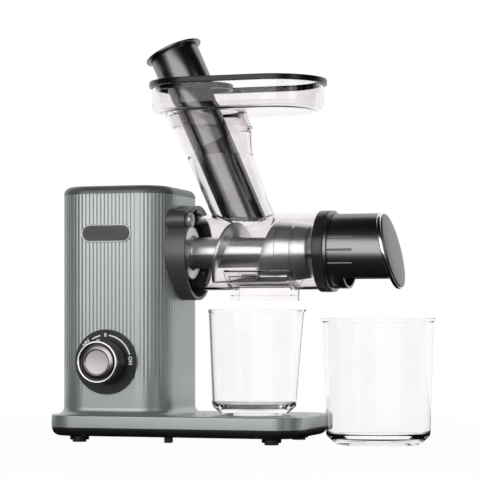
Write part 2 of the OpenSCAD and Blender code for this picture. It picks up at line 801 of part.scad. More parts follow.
module coupling_ring() {
    color(dark_colour) difference() {
        union() {
            along_x(cup_back_x) difference() {
                cylinder(h = rim_x - cup_back_x, r = ring_radius);
                translate([0, 0, cup_bottom_thickness])
                    cylinder(h = rim_x - cup_back_x, r = ring_inner);
            }
            along_x(boss_back_x, button_y, button_z) difference() {
                cylinder(h = boss_front_x - boss_back_x, r = boss_radius_button);
                translate([button_z - axis_height, -button_y, -reach])
                    cylinder(h = boss_front_x - boss_back_x + 2 * reach, r = ring_radius - 1);
            }
            along_x(rim_x - lug_setback - lug_thickness)
                ring_lugs(ring_radius - 1, lug_inner, ring_lug_arc, lug_thickness);
            for (side = [-1, 1])
                translate([side_x - wall - seat_gap / 2 - 1.5, 0, axis_height + side * (ring_radius + 2)])
                    cube([3, 40, 6], center = true);
        }
        along_x(cup_back_x - reach) {
            cylinder(h = cup_bottom_thickness + 2 * reach, r = output_shaft_radius + 0.6);
            translate([0, 0, cup_bottom_thickness + reach])
                cylinder(h = 4, r = ring_inner);
        }
        along_x(button_seat_x, button_y, button_z)
            cylinder(h = rim_x, r = button_radius + 0.3);
        along_x(spring_back_x, stem_y, stem_z)
            cylinder(h = button_back_x - spring_back_x, r = spring_bore);
        along_x(boss_back_x - reach, stem_y, stem_z)
            cylinder(h = 6, r = stem_radius + 0.2);
    }
}

module release_button()
    color([0.45, 0.44, 0.46]) difference() {
        along_x(button_back_x, button_y, button_z) {
            cylinder(h = button_length - 1, r = button_radius);
            translate([0, 0, button_length - 1])
                cylinder(h = 1, r1 = button_radius, r2 = button_radius - 1);
        }
        along_x(button_back_x - reach, stem_y, stem_z)
            cylinder(h = 3 + reach, r = stem_radius);
        along_x(button_seat_x)
            cylinder(h = button_reach + button_travel + 8, r = chamber_radius + 1);
    }

module latch_stem()
    color(metal_colour) {
        along_x(boss_back_x - 1, stem_y, stem_z)
            cylinder(h = button_back_x + 3 - boss_back_x + 1, r = stem_radius);
        along_x(spring_front_x, stem_y, stem_z)
            cylinder(h = stem_flange, r = spring_radius + spring_wire);
    }

// Closed end coils with an open coil of square wire between them.
module return_spring() {
    length = spring_front_x - spring_back_x;
    pitch = length / spring_turns;
    color(metal_colour) {
        along_x(spring_back_x, stem_y, stem_z)
            linear_extrude(length, twist = 360 * spring_turns, slices = 12 * spring_turns, $fn = 12)
                ring_sector(spring_radius + 0.8 * spring_wire, spring_radius - 0.8 * spring_wire,
                            360 * 2 * spring_wire / pitch);
        for (x = [spring_back_x, spring_front_x - 2 * spring_wire])
            along_x(x, stem_y, stem_z)
                tube(spring_radius + spring_wire, spring_radius - spring_wire, 2 * spring_wire);
    }
}

// ---------- gear train and motor ----------

module case_plan(half, low_half)
    for (p = [[0, half], [gear_distance, half], [2 * gear_distance, low_half]])
        translate([p[0], 0]) circle(p[1]);

module case_fill(half)
    translate([0, -half]) square([gear_distance, 2 * half]);

module case_outline(half, low_half) {
    case_plan(half, low_half);
    case_fill(half);
    translate([gear_distance, -low_half]) square([gear_distance, 2 * low_half]);
}

low_half = 16;

module case_screw_places(x)
    for (y = [-case_screw_y, case_screw_y], z = case_screw_z) along_x(x, y, z) children();

module gear_case() {
    length = cover_back_x - case_back_x;
    color(metal_colour) difference() {
        union() {
            along_x(case_back_x) linear_extrude(length) case_outline(case_half, low_half + plate);
            case_screw_places(case_back_x) cylinder(h = length, r = boss_radius);
        }
        difference() {
            along_x(case_back_x + plate) linear_extrude(length) case_outline(case_half - plate, low_half);
            case_screw_places(case_back_x) cylinder(h = length, r = boss_radius);
        }
        along_x(case_back_x - reach, 0, motor_z)
            cylinder(h = plate + 2 * reach, r = motor_shaft_radius + 2);
        along_x(case_back_x - reach, 0, middle_z)
            cylinder(h = plate + 2 * reach, r = middle_shaft_radius + bush_wall);
        along_x(case_back_x - reach) cylinder(h = plate + 2 * reach, r = middle_shaft_radius + bush_wall);
        case_screw_places(case_back_x - reach) cylinder(h = length + 2 * reach, r = screw_radius);
    }
}

module gear_cover()
    color(metal_colour) difference() {
        union() {
            along_x(cover_back_x) linear_extrude(plate) case_outline(case_half, low_half + plate);
            case_screw_places(cover_back_x) cylinder(h = plate, r = boss_radius);
        }
        along_x(cover_back_x - reach)
            cylinder(h = plate + 2 * reach, r = output_shaft_radius + bush_wall);
        along_x(cover_back_x - reach, 0, middle_z)
            cylinder(h = plate + 2 * reach, r = middle_shaft_radius + bush_wall);
        case_screw_places(cover_back_x - reach) cylinder(h = plate + 2 * reach, r = screw_radius);
    }

module shaft_bushes() color(brass_colour) {
    along_x(cover_back_x)
        tube(output_shaft_radius + bush_wall, output_shaft_radius + running_gap, plate);
    for (p = [[cover_back_x, middle_z], [case_back_x, middle_z], [case_back_x, axis_height]])
        along_x(p[0], 0, p[1])
            tube(middle_shaft_radius + bush_wall, middle_shaft_radius + running_gap, plate);
}

module case_screws()
    color(metal_colour) case_screw_places(case_back_x) {
        cylinder(h = cup_back_x - case_back_x, r = screw_radius);
        translate([0, 0, -2]) cylinder(h = 2, r = screw_head_radius);
    }

module output_gear()
    color([0.90, 0.88, 0.80]) difference() {
        along_x(output_gear_x + (pinion_width - wheel_width)) gear(wheel_teeth, wheel_width, 0);
        along_x(output_gear_x - reach) cylinder(h = pinion_width + 2 * reach, r = output_shaft_radius);
    }

module drive_shaft()
    color(metal_colour) difference() {
        union() {
            along_x(output_gear_x) cylinder(h = socket_back_x - output_gear_x, r = output_shaft_radius);
            along_x(case_back_x) cylinder(h = output_gear_x - case_back_x, r = middle_shaft_radius);
            along_x(socket_back_x) cylinder(h = socket_front_x - socket_back_x, r = socket_radius);
        }
        along_x(socket_back_x + 1) hexagon(drive_hex + 2 * hex_gap, socket_front_x - socket_back_x);
    }

module middle_gear()
    color([0.85, 0.83, 0.76]) {
        along_x(pinion_low_x, 0, middle_z) gear(wheel_teeth, wheel_width, 0);
        along_x(pinion_low_x + wheel_width, 0, middle_z)
            gear(pinion_teeth, pinion_width + gear_gap - 0.5, half_tooth_pitch);
        along_x(case_back_x, 0, middle_z)
            cylinder(h = cover_back_x + plate - case_back_x, r = middle_shaft_radius);
    }

module motor_pinion()
    color(brass_colour) difference() {
        along_x(pinion_low_x - 0.5, 0, motor_z) gear(pinion_teeth, pinion_width - 1, half_tooth_pitch);
        along_x(pinion_low_x - 2, 0, motor_z) cylinder(h = pinion_width + 4, r = motor_shaft_radius);
    }

module motor_rotor() {
    color([0.45, 0.45, 0.47]) along_x(motor_back_x + 6, 0, motor_z)
        cylinder(h = motor_length - 12, r = rotor_radius);
    color(metal_colour) along_x(motor_back_x - fan_room + 5, 0, motor_z)
        cylinder(h = pinion_low_x + pinion_width + fan_room - motor_back_x - 6.5,
                 r = motor_shaft_radius);
}

module motor_fan() {
    fan_x = motor_back_x - 10;
    color([0.15, 0.15, 0.16]) along_x(fan_x, 0, motor_z) difference() {
        union() {
            cylinder(h = 8, r = motor_shaft_radius + 4);
            cylinder(h = 1.2, r = motor_radius - 4);
            for (i = [0 : fan_blades - 1]) rotate([0, 0, i * 360 / fan_blades])
                translate([motor_shaft_radius + 3, -0.8, 0])
                    cube([motor_radius - 8 - motor_shaft_radius, 1.6, 8]);
        }
        translate([0, 0, -reach]) cylinder(h = 8 + 2 * reach, r = motor_shaft_radius);
    }
}

module motor_can()
    color([0.55, 0.56, 0.58]) difference() {
        along_x(motor_back_x, 0, motor_z) cylinder(h = motor_length, r = motor_radius);
        along_x(motor_back_x + 4, 0, motor_z)
            cylinder(h = motor_length - 8, r = rotor_radius + air_gap);
        along_x(motor_back_x - reach, 0, motor_z)
            cylinder(h = motor_length + 2 * reach, r = motor_shaft_radius + running_gap);
    }

module motor_bracket()
    color(metal_colour) difference() {
        along_x(bracket_back_x, 0, motor_z) cylinder(h = plate, r = motor_radius + 1);
        along_x(bracket_back_x - reach, 0, motor_z)
            cylinder(h = plate + 2 * reach, r = motor_shaft_radius + 2);
    }

// ---------- auger ----------

module ring_sector(outer, inner, arc)
    polygon([for (i = [0 : 11]) let (r = i < 6 ? outer : inner, a = arc * ((i < 6 ? i : 11 - i) / 5 - 0.5))
        [r * cos(a), r * sin(a)]]);

// One winding: a thin blade that widens at its end into the front face of the large end.
// Each row is [distance along the auger, width along the auger, outer radius].
blade_run = body_start_x - 0.75 * flight_pitch - flight_start_x;
front_run = 0.75 * flight_pitch;
blade_steps = 44;
front_steps = 30;
winding = concat(
    [for (i = [0 : blade_steps]) [blade_run * i / blade_steps, flight_width, flight_radius]],
    [for (i = [0 : front_steps]) let (x = 0.3 + (front_run - 0.8) * i / front_steps)
        [blade_run + x, front_run - x + 1, auger_body_radius - 0.3]]);

module auger_winding() {
    inner = auger_core_radius - 3;
    points = [for (row = winding) let (a = 90 + 360 * (blade_run - row[0]) / flight_pitch)
        each [for (p = [[inner, 0], [row[2], 0], [row[2], row[1]], [inner, row[1]]])
            [p[0] * cos(a), p[0] * sin(a), row[0] + p[1]]]];
    last = 4 * (len(winding) - 1);
    polyhedron(points, concat([[0, 1, 2, 3], [last + 3, last + 2, last + 1, last]],
        [for (i = [0 : len(winding) - 2], k = [0 : 3], half = [0, 1])
            half == 0 ? [4 * i + 4 + k, 4 * i + (k + 1) % 4, 4 * i + k]
                      : [4 * i + 4 + k, 4 * i + 4 + (k + 1) % 4, 4 * i + (k + 1) % 4]]));
}

module auger() {
    color(metal_colour) {
        along_x(disc_front_x - 1) cylinder(h = auger_core_end_x - disc_front_x + 2,
                                           r1 = auger_root_radius, r2 = auger_core_radius);
        along_x(disc_back_x) cylinder(h = disc_front_x - disc_back_x, r = auger_disc_radius);
        along_x(chamber_back_x - 0.5) cylinder(h = disc_back_x - chamber_back_x + 1, r = tail_radius);
        along_x(socket_back_x + 2) hexagon(drive_hex, chamber_back_x - socket_back_x - 1);
        along_x(body_start_x) cylinder(h = auger_end_x - body_start_x,
                                       r1 = auger_body_radius, r2 = auger_tip_radius);
        along_x(auger_end_x - 1)
            cylinder(h = cap_start_x + nozzle_wall - auger_end_x, r = tip_journal_radius);
        along_x(flight_start_x) auger_winding();
    }
}

// ---------- clear chamber ----------

module chute_form(shrink) {
    on_chute(20) cylinder(h = flare_end - 20, r = chute_radius - shrink);
    on_chute(cone_start) rotate([0, cone_half_angle, 0])
        cylinder(h = cone_length, r1 = chute_radius - shrink, r2 = chute_radius + cone_growth - shrink);
    on_chute(flare_start, mouth_shift)
        cylinder(h = flare_end - flare_start, r1 = mouth_radius - 8 - shrink, r2 = mouth_radius - shrink);
    on_chute(flare_end, mouth_shift) cylinder(h = mouth_rise, r = mouth_radius - shrink);
}

module above(z) translate([-500, -500, z]) cube([1000, 1000, 500]);

module below(z) translate([-500, -500, z - 500]) cube([1000, 1000, 500]);

module outlet_frame(shrink, top)
    translate([outlet_x - outlet_length / 2 + shrink, -outlet_width / 2 + shrink, outlet_bottom])
        cube([outlet_length - 2 * shrink, outlet_width - 2 * shrink, top - outlet_bottom]);

module juicing_chamber() {
    color(clear_colour) difference() {
        union() {
            along_x(chamber_back_x) cylinder(h = chamber_end_x - chamber_back_x, r = chamber_radius);
            along_x(lug_front_x - lug_thickness)
                ring_lugs(chamber_lug_radius, chamber_radius - 1, chamber_lug_arc, lug_thickness);
            difference() {
                chute_form(0);
                above(mouth_z);
            }
            outlet_frame(0, axis_height - chamber_radius + 4);
        }
        along_x(chamber_back_x + plate)
            cylinder(h = chamber_end_x - chamber_back_x, r = chamber_bore);
        along_x(chamber_back_x - reach) cylinder(h = plate + 2 * reach, r = tail_radius + bush_wall);
        chute_form(clear_wall);
        translate([0, 0, -reach]) outlet_frame(2, axis_height - chamber_bore / 2);
    }
}

lug_front_x = rim_x - lug_setback - lug_thickness - 1;

module tail_seal()
    color(black_colour) along_x(chamber_back_x)
        tube(tail_radius + bush_wall, tail_radius + running_gap, plate);

strainer_start_x = outlet_x - outlet_length / 2 - 3;
strainer_length = outlet_length + 6;
strainer_slots = floor((strainer_length - 6) / slot_pitch);
strainer_strip = 4;
strainer_inner = strainer_radius - strainer_wall;
window_arc = strainer_arc - 20;
window_length = (strainer_slots - 1) * slot_pitch + slot_width;

// A frame that lies in the chamber's bore, with thin bars across it that leave the slots.
module juice_strainer()
    color(chrome_colour) along_x(strainer_start_x) {
        difference() {
            arc_block(chamber_bore - seat_gap, strainer_inner - 0.2, strainer_arc, 0, strainer_length);
            translate([0, 0, strainer_strip])
                arc_block(chamber_bore + reach, strainer_inner - reach, window_arc, 0, window_length);
        }
        for (i = [0 : strainer_slots - 2])
            translate([0, 0, strainer_strip + i * slot_pitch + slot_width])
                arc_block(strainer_radius, strainer_inner, window_arc + 4, 0, slot_pitch - slot_width);
    }

// ---------- tray, guard and pusher ----------

module feed_tray() {
    color(clear_colour) difference() {
        union() {
            translate([tray_x, 0, tray_floor_z])
                oblong_bowl(tray_outer, tray_span, tray_depth - band_roof, tray_rounding);
            difference() {
                on_chute(flare_end - 20, mouth_shift)
                    cylinder(h = mouth_rise, r = mouth_radius + clear_wall + seat_gap);
                above(tray_floor_z + 1);
                below(tray_floor_z - neck_depth);
            }
        }
        translate([tray_x, 0, tray_floor_z + tray_floor])
            oblong_bowl(tray_outer - clear_wall, tray_span, tray_depth, tray_rounding - clear_wall);
        difference() {
            on_chute(flare_end - 30, mouth_shift) cylinder(h = mouth_rise, r = mouth_radius + seat_gap);
            above(mouth_z + seat_gap);
        }
        on_chute(flare_end, mouth_shift) cylinder(h = mouth_rise, r = mouth_radius - clear_wall);
    }
}

module tray_band()
    color(black_colour) translate([tray_x, 0, rim_z - band_height]) difference() {
        oblong(tray_outer + band_width, tray_span, band_height);
        translate([0, 0, -reach]) oblong(tray_outer, tray_span, band_height - band_roof + reach);
        translate([0, 0, -reach]) oblong(tray_outer - clear_wall, tray_span, band_height + 2 * reach);
    }

module guard_plan(shrink)
    oblong(guard_width / 2 - shrink, guard_length - guard_width, band_height);

module chute_guard() {
    color(black_colour) difference() {
        union() {
            translate([guard_x, 0, guard_bottom]) guard_plan(0);
            translate([guard_x - guard_length / 2 - 2, -9, guard_bottom]) cube([12, 18, band_height]);
        }
        translate([guard_x, 0, guard_bottom - guard_plate]) guard_plan(3);
        on_chute(pusher_seat_s - 60) cylinder(h = 120, r = pusher_radius + 0.6);
        difference() {
            translate([guard_x - guard_length, -20, guard_bottom - reach])
                cube([guard_length, 40, band_height + 2 * reach]);
            translate([tray_x, 0, guard_bottom - 2 * reach])
                oblong(tray_outer - clear_wall - seat_gap, tray_span, band_height + 4 * reach);
        }
    }
}

module pusher_teeth() {
    step = 5.4;
    side = 2.4;
    foot_x = chute_x - (pusher_foot_z - axis_height) * tan(chute_lean);
    for (i = [-3 : 3], j = [-3 : 3])
        if (norm([i, j]) * step < pusher_foot_radius - 3)
            translate([foot_x + i * step - side / 2, j * step - side / 2, pusher_low_z])
                cube([side, side, pusher_tooth + 0.5]);
}

module pusher() {
    color(black_colour) {
        difference() {
            union() {
                on_chute(pusher_foot_s)
                    cylinder(h = pusher_seat_s + 12 - pusher_foot_s,
                             r1 = pusher_foot_radius, r2 = pusher_radius);
                difference() {
                    on_chute(pusher_seat_s - 20)
                        cylinder(h = pusher_head_length + 20, r = pusher_head_radius);
                    below(pusher_seat_z);
                }
            }
            below(pusher_foot_z);
            difference() {
                on_chute(pusher_foot_s) cylinder(h = pusher_top_s, r = pusher_foot_radius - pusher_wall);
                below(pusher_foot_z + 3);
            }
            difference() {
                on_chute(pusher_seat_s - 20)
                    cylinder(h = pusher_top_s, r = pusher_head_radius - pusher_wall);
                below(pusher_seat_z + 3);
            }
        }
        pusher_teeth();
    }
}

module pusher_lip()
    color(black_colour) on_chute(pusher_top_s)
        tube(pusher_lip_radius, pusher_head_radius - pusher_wall, pusher_lip);

// ---------- end cap ----------

module lock_collar()
    color(dark_colour) along_x(collar_back_x)
        tube(collar_radius, chamber_radius + 0.3, collar_length);

// Everything to the right of the slanted plane that crosses the top line of the cap at x.
module beyond_slant(x)
    translate([x, 0, axis_height + disc_radius]) rotate([0, -disc_slant, 0])
        translate([0, -100, -200]) cube([200, 200, 400]);

groove_radius = 1.1;
groove_length = 25.5;

module end_cap() {
    color(black_colour) difference() {
        union() {
            along_x(cap_start_x) cylinder(h = cap_length * 2, r = cap_radius);
            along_x(cap_bead_x) cylinder(h = cap_bead_length, r = cap_bead_radius);
        }
        beyond_slant(disc_top_x);
        along_x(cap_start_x + nozzle_wall) cylinder(h = cap_length * 2, r = cap_radius - cap_wall);
        along_x(cap_start_x - reach)
            cylinder(h = nozzle_wall + 2 * reach, r = tip_journal_radius + running_gap);
        for (i = [0 : 5]) along_x(cap_start_x - reach) rotate([0, 0, i * 60 + 30])
            translate([22, 0, 0]) cylinder(h = nozzle_wall + 2 * reach, r = 8.5);
        translate([pulp_start_x, -60, axis_height - pulp_cut_drop - 40]) cube([200, 120, 40]);
        for (side = [-90, 90], i = [0 : groove_count - 1])
            along_x(cap_bead_x + cap_bead_length + 0.6)
                rotate([0, 0, side + (i - (groove_count - 1) / 2) * groove_step])
                    translate([cap_radius + 0.3, 0, 0]) cylinder(h = groove_length, r = groove_radius);
    }
}

module end_seal()
    color([0.8, 0.8, 0.8]) along_x(chamber_end_x)
        tube(chamber_radius - 0.3, chamber_bore, cap_start_x - chamber_end_x);

module slanted_slab(start, thickness, radius)
    intersection() {
        along_x(cap_start_x) cylinder(h = cap_length * 2, r = radius);
        beyond_slant(start);
        difference() {
            translate([cap_start_x, -100, axis_height - 100]) cube([200, 200, 200]);
            beyond_slant(start + thickness / cos(disc_slant));
        }
    }

module cap_ring()
    color(chrome_colour) slanted_slab(disc_top_x, ring_slab, disc_radius);

module cap_disc()
    color(dark_colour)
        slanted_slab(disc_top_x + ring_slab / cos(disc_slant), disc_slab, disc_radius - 2);

// ---------- vessels ----------

module juice_jug() {
    spout = 7.4;
    color(clear_colour) translate([jug_x, 0, deck_height]) difference() {
        union() {
            rotate_extrude() vessel_section(jug_radius, jug_low_radius, jug_foot_radius, jug_height);
            spout_form(jug_radius, jug_height, spout, 8);
        }
        spout_form(jug_radius - vessel_wall * 1.2, jug_height + 0.1, spout, 6);
        translate([0, 0, jug_height - 0.001]) cylinder(h = 30, r = 2 * jug_radius);
        translate([0, 0, vessel_chamfer + vessel_floor / 2])
            cylinder(h = jug_height, r1 = jug_low_radius - vessel_wall - 0.4,
                     r2 = jug_radius - vessel_wall + 0.1);
    }
}

module spout_form(rim, height, out, half)
    translate([rim + out - half, 0, height - 14]) rotate([0, 18, 0])
        translate([-4, 0, -1]) cylinder(h = 20, r = half);

module pulp_container()
    color(clear_colour) translate([container_x, 0, 0]) rotate_extrude()
        vessel_section(container_radius, container_low_radius, container_foot_radius, container_height);

housing();
top_cap();
bottom_cover();
rubber_feet();
support_peg();
cover_screws();
badge_rim();
badge_plate();
dial_plate();
knob_body();
knob_ring();
knob_cap();
switch_shaft();
switch_body();
control_board();
cord_gland();
rear_grille();
coupling_ring();
release_button();
latch_stem();
return_spring();
gear_case();
gear_cover();
shaft_bushes();
case_screws();
output_gear();
drive_shaft();
middle_gear();
motor_pinion();
motor_rotor();
motor_fan();
motor_can();
motor_bracket();
auger();
juicing_chamber();
tail_seal();
juice_strainer();
feed_tray();
tray_band();
chute_guard();
pusher();
pusher_lip();
lock_collar();
end_cap();
end_seal();
cap_ring();
cap_disc();
juice_jug();
pulp_container();
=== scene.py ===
# %% [markdown]
# # A cold press juicer, finished cell by cell
# The construction of this juicer already exists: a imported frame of 49 solids at real size,
# each riding on the body that moves it. This notebook gives the solids their finish, and
# swaps those whose real surface is richer than a plain solid, such as the ribbed tower.
# Everything is in metres, in one frame: +X runs along the auger, -Y is the front, +Z is up.

# %% Load the frame
import json
import math

import bmesh
import bpy
from mathutils import Matrix, Vector


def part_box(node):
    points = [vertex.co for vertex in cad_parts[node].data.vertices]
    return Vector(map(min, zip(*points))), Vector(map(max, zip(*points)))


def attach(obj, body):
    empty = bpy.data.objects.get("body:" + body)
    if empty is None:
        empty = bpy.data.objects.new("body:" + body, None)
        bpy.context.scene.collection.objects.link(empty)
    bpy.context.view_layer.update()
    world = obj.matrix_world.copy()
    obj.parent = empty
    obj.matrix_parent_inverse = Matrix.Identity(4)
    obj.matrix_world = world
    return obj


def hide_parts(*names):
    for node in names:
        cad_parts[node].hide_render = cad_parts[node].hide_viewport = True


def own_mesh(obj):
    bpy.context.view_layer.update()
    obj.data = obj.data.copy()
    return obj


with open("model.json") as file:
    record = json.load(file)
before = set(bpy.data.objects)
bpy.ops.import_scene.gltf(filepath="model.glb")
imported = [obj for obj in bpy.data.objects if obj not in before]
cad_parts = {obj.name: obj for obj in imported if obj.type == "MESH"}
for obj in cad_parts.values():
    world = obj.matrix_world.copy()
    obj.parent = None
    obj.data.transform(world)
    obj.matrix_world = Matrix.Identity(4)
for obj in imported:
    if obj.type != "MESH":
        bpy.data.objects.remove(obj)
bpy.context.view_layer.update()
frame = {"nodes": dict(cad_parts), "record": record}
MM = 0.001

# %% [markdown]
# ## Stations
# A piece sits well only when its place comes from its neighbours. So the first thing to do
# is to read the few lines that everything else hangs on: the tower's sides, the auger's
# axis, the chamber's end. They are read from the boxes of the solids, never typed twice.

# %% Read the stations from the frame
tower_lo, tower_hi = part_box("top_cap")
house_lo, house_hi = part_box("housing")
collar_lo, collar_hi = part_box("lock_collar")
ring_lo, ring_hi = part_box("coupling_ring")
dial_lo, dial_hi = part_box("dial_plate")

AXIS_Z = (collar_lo.z + collar_hi.z) / 2
SIDE_X = tower_hi.x
FRONT_Y = tower_lo.y
TOWER_X = (tower_lo.x + tower_hi.x) / 2
DIAL_X = (dial_lo.x + dial_hi.x) / 2
DIAL_Z = (dial_lo.z + dial_hi.z) / 2
DIAL_FACE_Y = dial_lo.y
DECK_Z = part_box("juice_jug")[0].z
CHAMBER_END_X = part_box("juicing_chamber")[1].x
print("axis height", round(AXIS_Z, 4), "tower side", round(SIDE_X, 4), "deck", round(DECK_Z, 4))

# %% [markdown]
# ## Small tools: outlines, lathe and pieces
# Most parts of a juicer are turned or moulded round an axis, so one lathe tool makes many
# of them. An outline is a short list of corners, each with its own rounding, because a
# moulded edge is never sharp. A finished piece always has its place in its mesh and its
# object at the origin, and it rides on a body.

# %% Outline, lathe and piece helpers
ROUND = 96


def rounded(corners, steps=5):
    """The outline through (x, y, rounding) corners, with an arc at each rounding."""
    outline = []
    for i, (x, y, r) in enumerate(corners):
        here = Vector((x, y))
        before = Vector(corners[i - 1][:2]) if i else None
        after = Vector(corners[i + 1][:2]) if i + 1 < len(corners) else None
        if not r or before is None or after is None:
            outline.append(here)
            continue
        a, b = (before - here).normalized(), (after - here).normalized()
        half = a.angle(b) / 2
        run = min(r / math.tan(half), (before - here).length * 0.49, (after - here).length * 0.49)
        start, end = here + a * run, here + b * run
        for k in range(steps + 1):
            t = k / steps
            outline.append((1 - t) ** 2 * start + 2 * t * (1 - t) * here + t * t * end)
    return [tuple(p) for p in outline]


def frame_at(origin, axis, across=(0, 0, 1)):
    """A matrix that stands a shape drawn along +Z at origin, along axis."""
    z = Vector(axis).normalized()
    x = (Vector(across) - Vector(across).dot(z) * z).normalized()
    y = z.cross(x)
    turn = Matrix((x, y, z)).transposed().to_4x4()
    return Matrix.Translation(Vector(origin)) @ turn


def lathe(bm, outline, place, segments=ROUND, closed=False):
    """Turns an outline of (radius, height) points round the placed +Z axis."""
    rings = []
    for r, h in outline:
        if r < 1e-7:
            rings.append([bm.verts.new(place @ Vector((0, 0, h)))])
            continue
        turns = (2 * math.pi * k / segments for k in range(segments))
        rings.append([bm.verts.new(place @ Vector((r * math.cos(t), r * math.sin(t), h))) for t in turns])
    pairs = list(zip(rings, rings[1:])) + ([(rings[-1], rings[0])] if closed else [])
    for low, high in pairs:
        for k in range(segments):
            quad = [low[k % len(low)], low[(k + 1) % len(low)], high[(k + 1) % len(high)], high[k % len(high)]]
            face = list(dict.fromkeys(quad))
            if len(face) > 2:
                bm.faces.new(face)
    return rings


def piece(name, bm, finish, body, stands_for=(), sharp=35):
    """Turns a bmesh into a finished piece: normals out, smooth, painted and riding on its body."""
    bmesh.ops.remove_doubles(bm, verts=bm.verts, dist=1e-6)
    bmesh.ops.recalc_face_normals(bm, faces=bm.faces)
    mesh = bpy.data.meshes.new(name)
    bm.to_mesh(mesh)
    bm.free()
    return dress(bpy.data.objects.new(name, mesh), finish, body, stands_for, sharp)


def dress(obj, finish, body, stands_for=(), sharp=35):
    """Gives an object at the origin its shading, finish, body and the nodes that it stands for."""
    if obj.name not in bpy.context.scene.collection.objects:
        bpy.context.scene.collection.objects.link(obj)
    mesh = obj.data
    mesh.shade_smooth()
    mesh.set_sharp_from_angle(angle=math.radians(sharp))
    mesh.materials.clear()
    mesh.materials.append(finish)
    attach(obj, body)
    if stands_for:
        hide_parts(*stands_for)
    return obj


def merged_copy(node, name):
    """A welded copy of a solid's mesh, free of the split normals that it came with."""
    bm = bmesh.new()
    bm.from_mesh(frame["nodes"][node].data)
    bmesh.ops.remove_doubles(bm, verts=bm.verts, dist=2e-6)
    mesh = bpy.data.meshes.new(name)
    bm.to_mesh(mesh)
    bm.free()
    for layer in [a for a in mesh.attributes if a.name == "custom_normal"]:
        mesh.attributes.remove(layer)
    return mesh


def islands(node):
    """The boxes of a node's separate solids, as (lowest corner, highest corner) pairs."""
    bm = bmesh.new()
    bm.from_mesh(frame["nodes"][node].data)
    bmesh.ops.remove_doubles(bm, verts=bm.verts, dist=2e-6)
    left, boxes = set(bm.verts), []
    while left:
        todo, found = [left.pop()], []
        while todo:
            v = todo.pop()
            found.append(v.co.copy())
            for e in v.link_edges:
                other = e.other_vert(v)
                if other in left:
                    left.remove(other)
                    todo.append(other)
        low = Vector([min(p[i] for p in found) for i in range(3)])
        high = Vector([max(p[i] for p in found) for i in range(3)])
        boxes.append((low, high))
    bm.free()
    return boxes


print("one lathe turn has", ROUND, "faces")

# %% [markdown]
# ## Finishes
# A moulded or painted surface is never one flat colour: the pigment drifts a little, the
# gloss changes from patch to patch and the skin has a grain. Each finish here is one
# Principled shader, fed by two noises in object coordinates: a slow one for the colour and
# a fine one for the gloss and the grain. What is the same all over, such as how metallic
# it is, is typed straight into the shader's own sockets.

# %% Colour and shader helpers
def shade(r, g, b):
    """Screen values from 0 to 255 as the linear colour that a shader wants."""
    return tuple(((v / 255 + 0.055) / 1.055) ** 2.4 if v > 10 else v / 255 / 12.92 for v in (r, g, b)) + (1.0,)


def node(tree, kind, inputs=None, **settings):
    """Adds a node: its inputs are linked where a socket is given, and set where a value is."""
    made = tree.nodes.new(kind)
    for key, value in settings.items():
        setattr(made, key, value)
    for key, value in (inputs or {}).items():
        if isinstance(value, bpy.types.NodeSocket):
            tree.links.new(value, made.inputs[key])
        else:
            made.inputs[key].default_value = value
    return made


def ramp(tree, fac, stops):
    """A colour ramp through (position, colour) stops."""
    made = node(tree, "ShaderNodeValToRGB", {"Fac": fac})
    band = made.color_ramp.elements
    while len(band) < len(stops):
        band.new(0.5)
    for spot, (position, colour) in zip(band, stops):
        spot.position, spot.color = position, colour
    return made.outputs["Color"]


def spread(tree, fac, low, high):
    """Stretches the middle of a noise to the range from low to high."""
    made = node(tree, "ShaderNodeMapRange", {"Value": fac, "From Min": 0.3, "From Max": 0.7,
                                             "To Min": low, "To Max": high})
    return made.outputs["Result"]


def new_finish(name):
    """An empty material, its node tree and its object coordinates."""
    made = bpy.data.materials.new(name)
    made.use_nodes = True
    made.node_tree.nodes.clear()
    return made, made.node_tree, node(made.node_tree, "ShaderNodeTexCoord").outputs["Object"]


def seal(tree, shader):
    node(tree, "ShaderNodeOutputMaterial", {"Surface": shader})


def moulded(name, dark, light, rough, patch=30.0, grain=900.0, depth=0.02, pull=(1, 1, 1), **shader):
    """A solid finish: slow noise between dark and light, fine noise for gloss and grain.

    pull squeezes the noise along an axis, which turns grain into brush marks. depth is the
    height of the grain in millimetres. The rest goes to the shader's sockets by name."""
    made, tree, place = new_finish(name)
    drawn = node(tree, "ShaderNodeMapping", {"Vector": place, "Scale": pull}).outputs["Vector"]
    slow = node(tree, "ShaderNodeTexNoise", {"Vector": drawn, "Scale": patch, "Detail": 3.0})
    fine = node(tree, "ShaderNodeTexNoise", {"Vector": drawn, "Scale": grain, "Detail": 2.0})
    colour = ramp(tree, slow.outputs["Fac"], [(0.3, dark), (0.7, light)])
    gloss = spread(tree, fine.outputs["Fac"], *rough)
    relief = node(tree, "ShaderNodeBump", {"Height": fine.outputs["Fac"], "Strength": 1.0,
                                           "Distance": depth * MM})
    sockets = {"Base Color": colour, "Roughness": gloss, "Normal": relief.outputs["Normal"]}
    sockets.update({key.replace("_", " ").title().replace("Ior", "IOR"): v for key, v in shader.items()})
    seal(tree, node(tree, "ShaderNodeBsdfPrincipled", sockets).outputs["BSDF"])
    return made


# %% [markdown]
# ## The palette
# The tower and the deck wear one satin grey-green metallic paint, the cap over them the
# same paint in a darker tone. The rest is what kitchen machines are made of: black and
# dark moulded plastic, polished and brushed trim, turned steel, brass, cast plates.

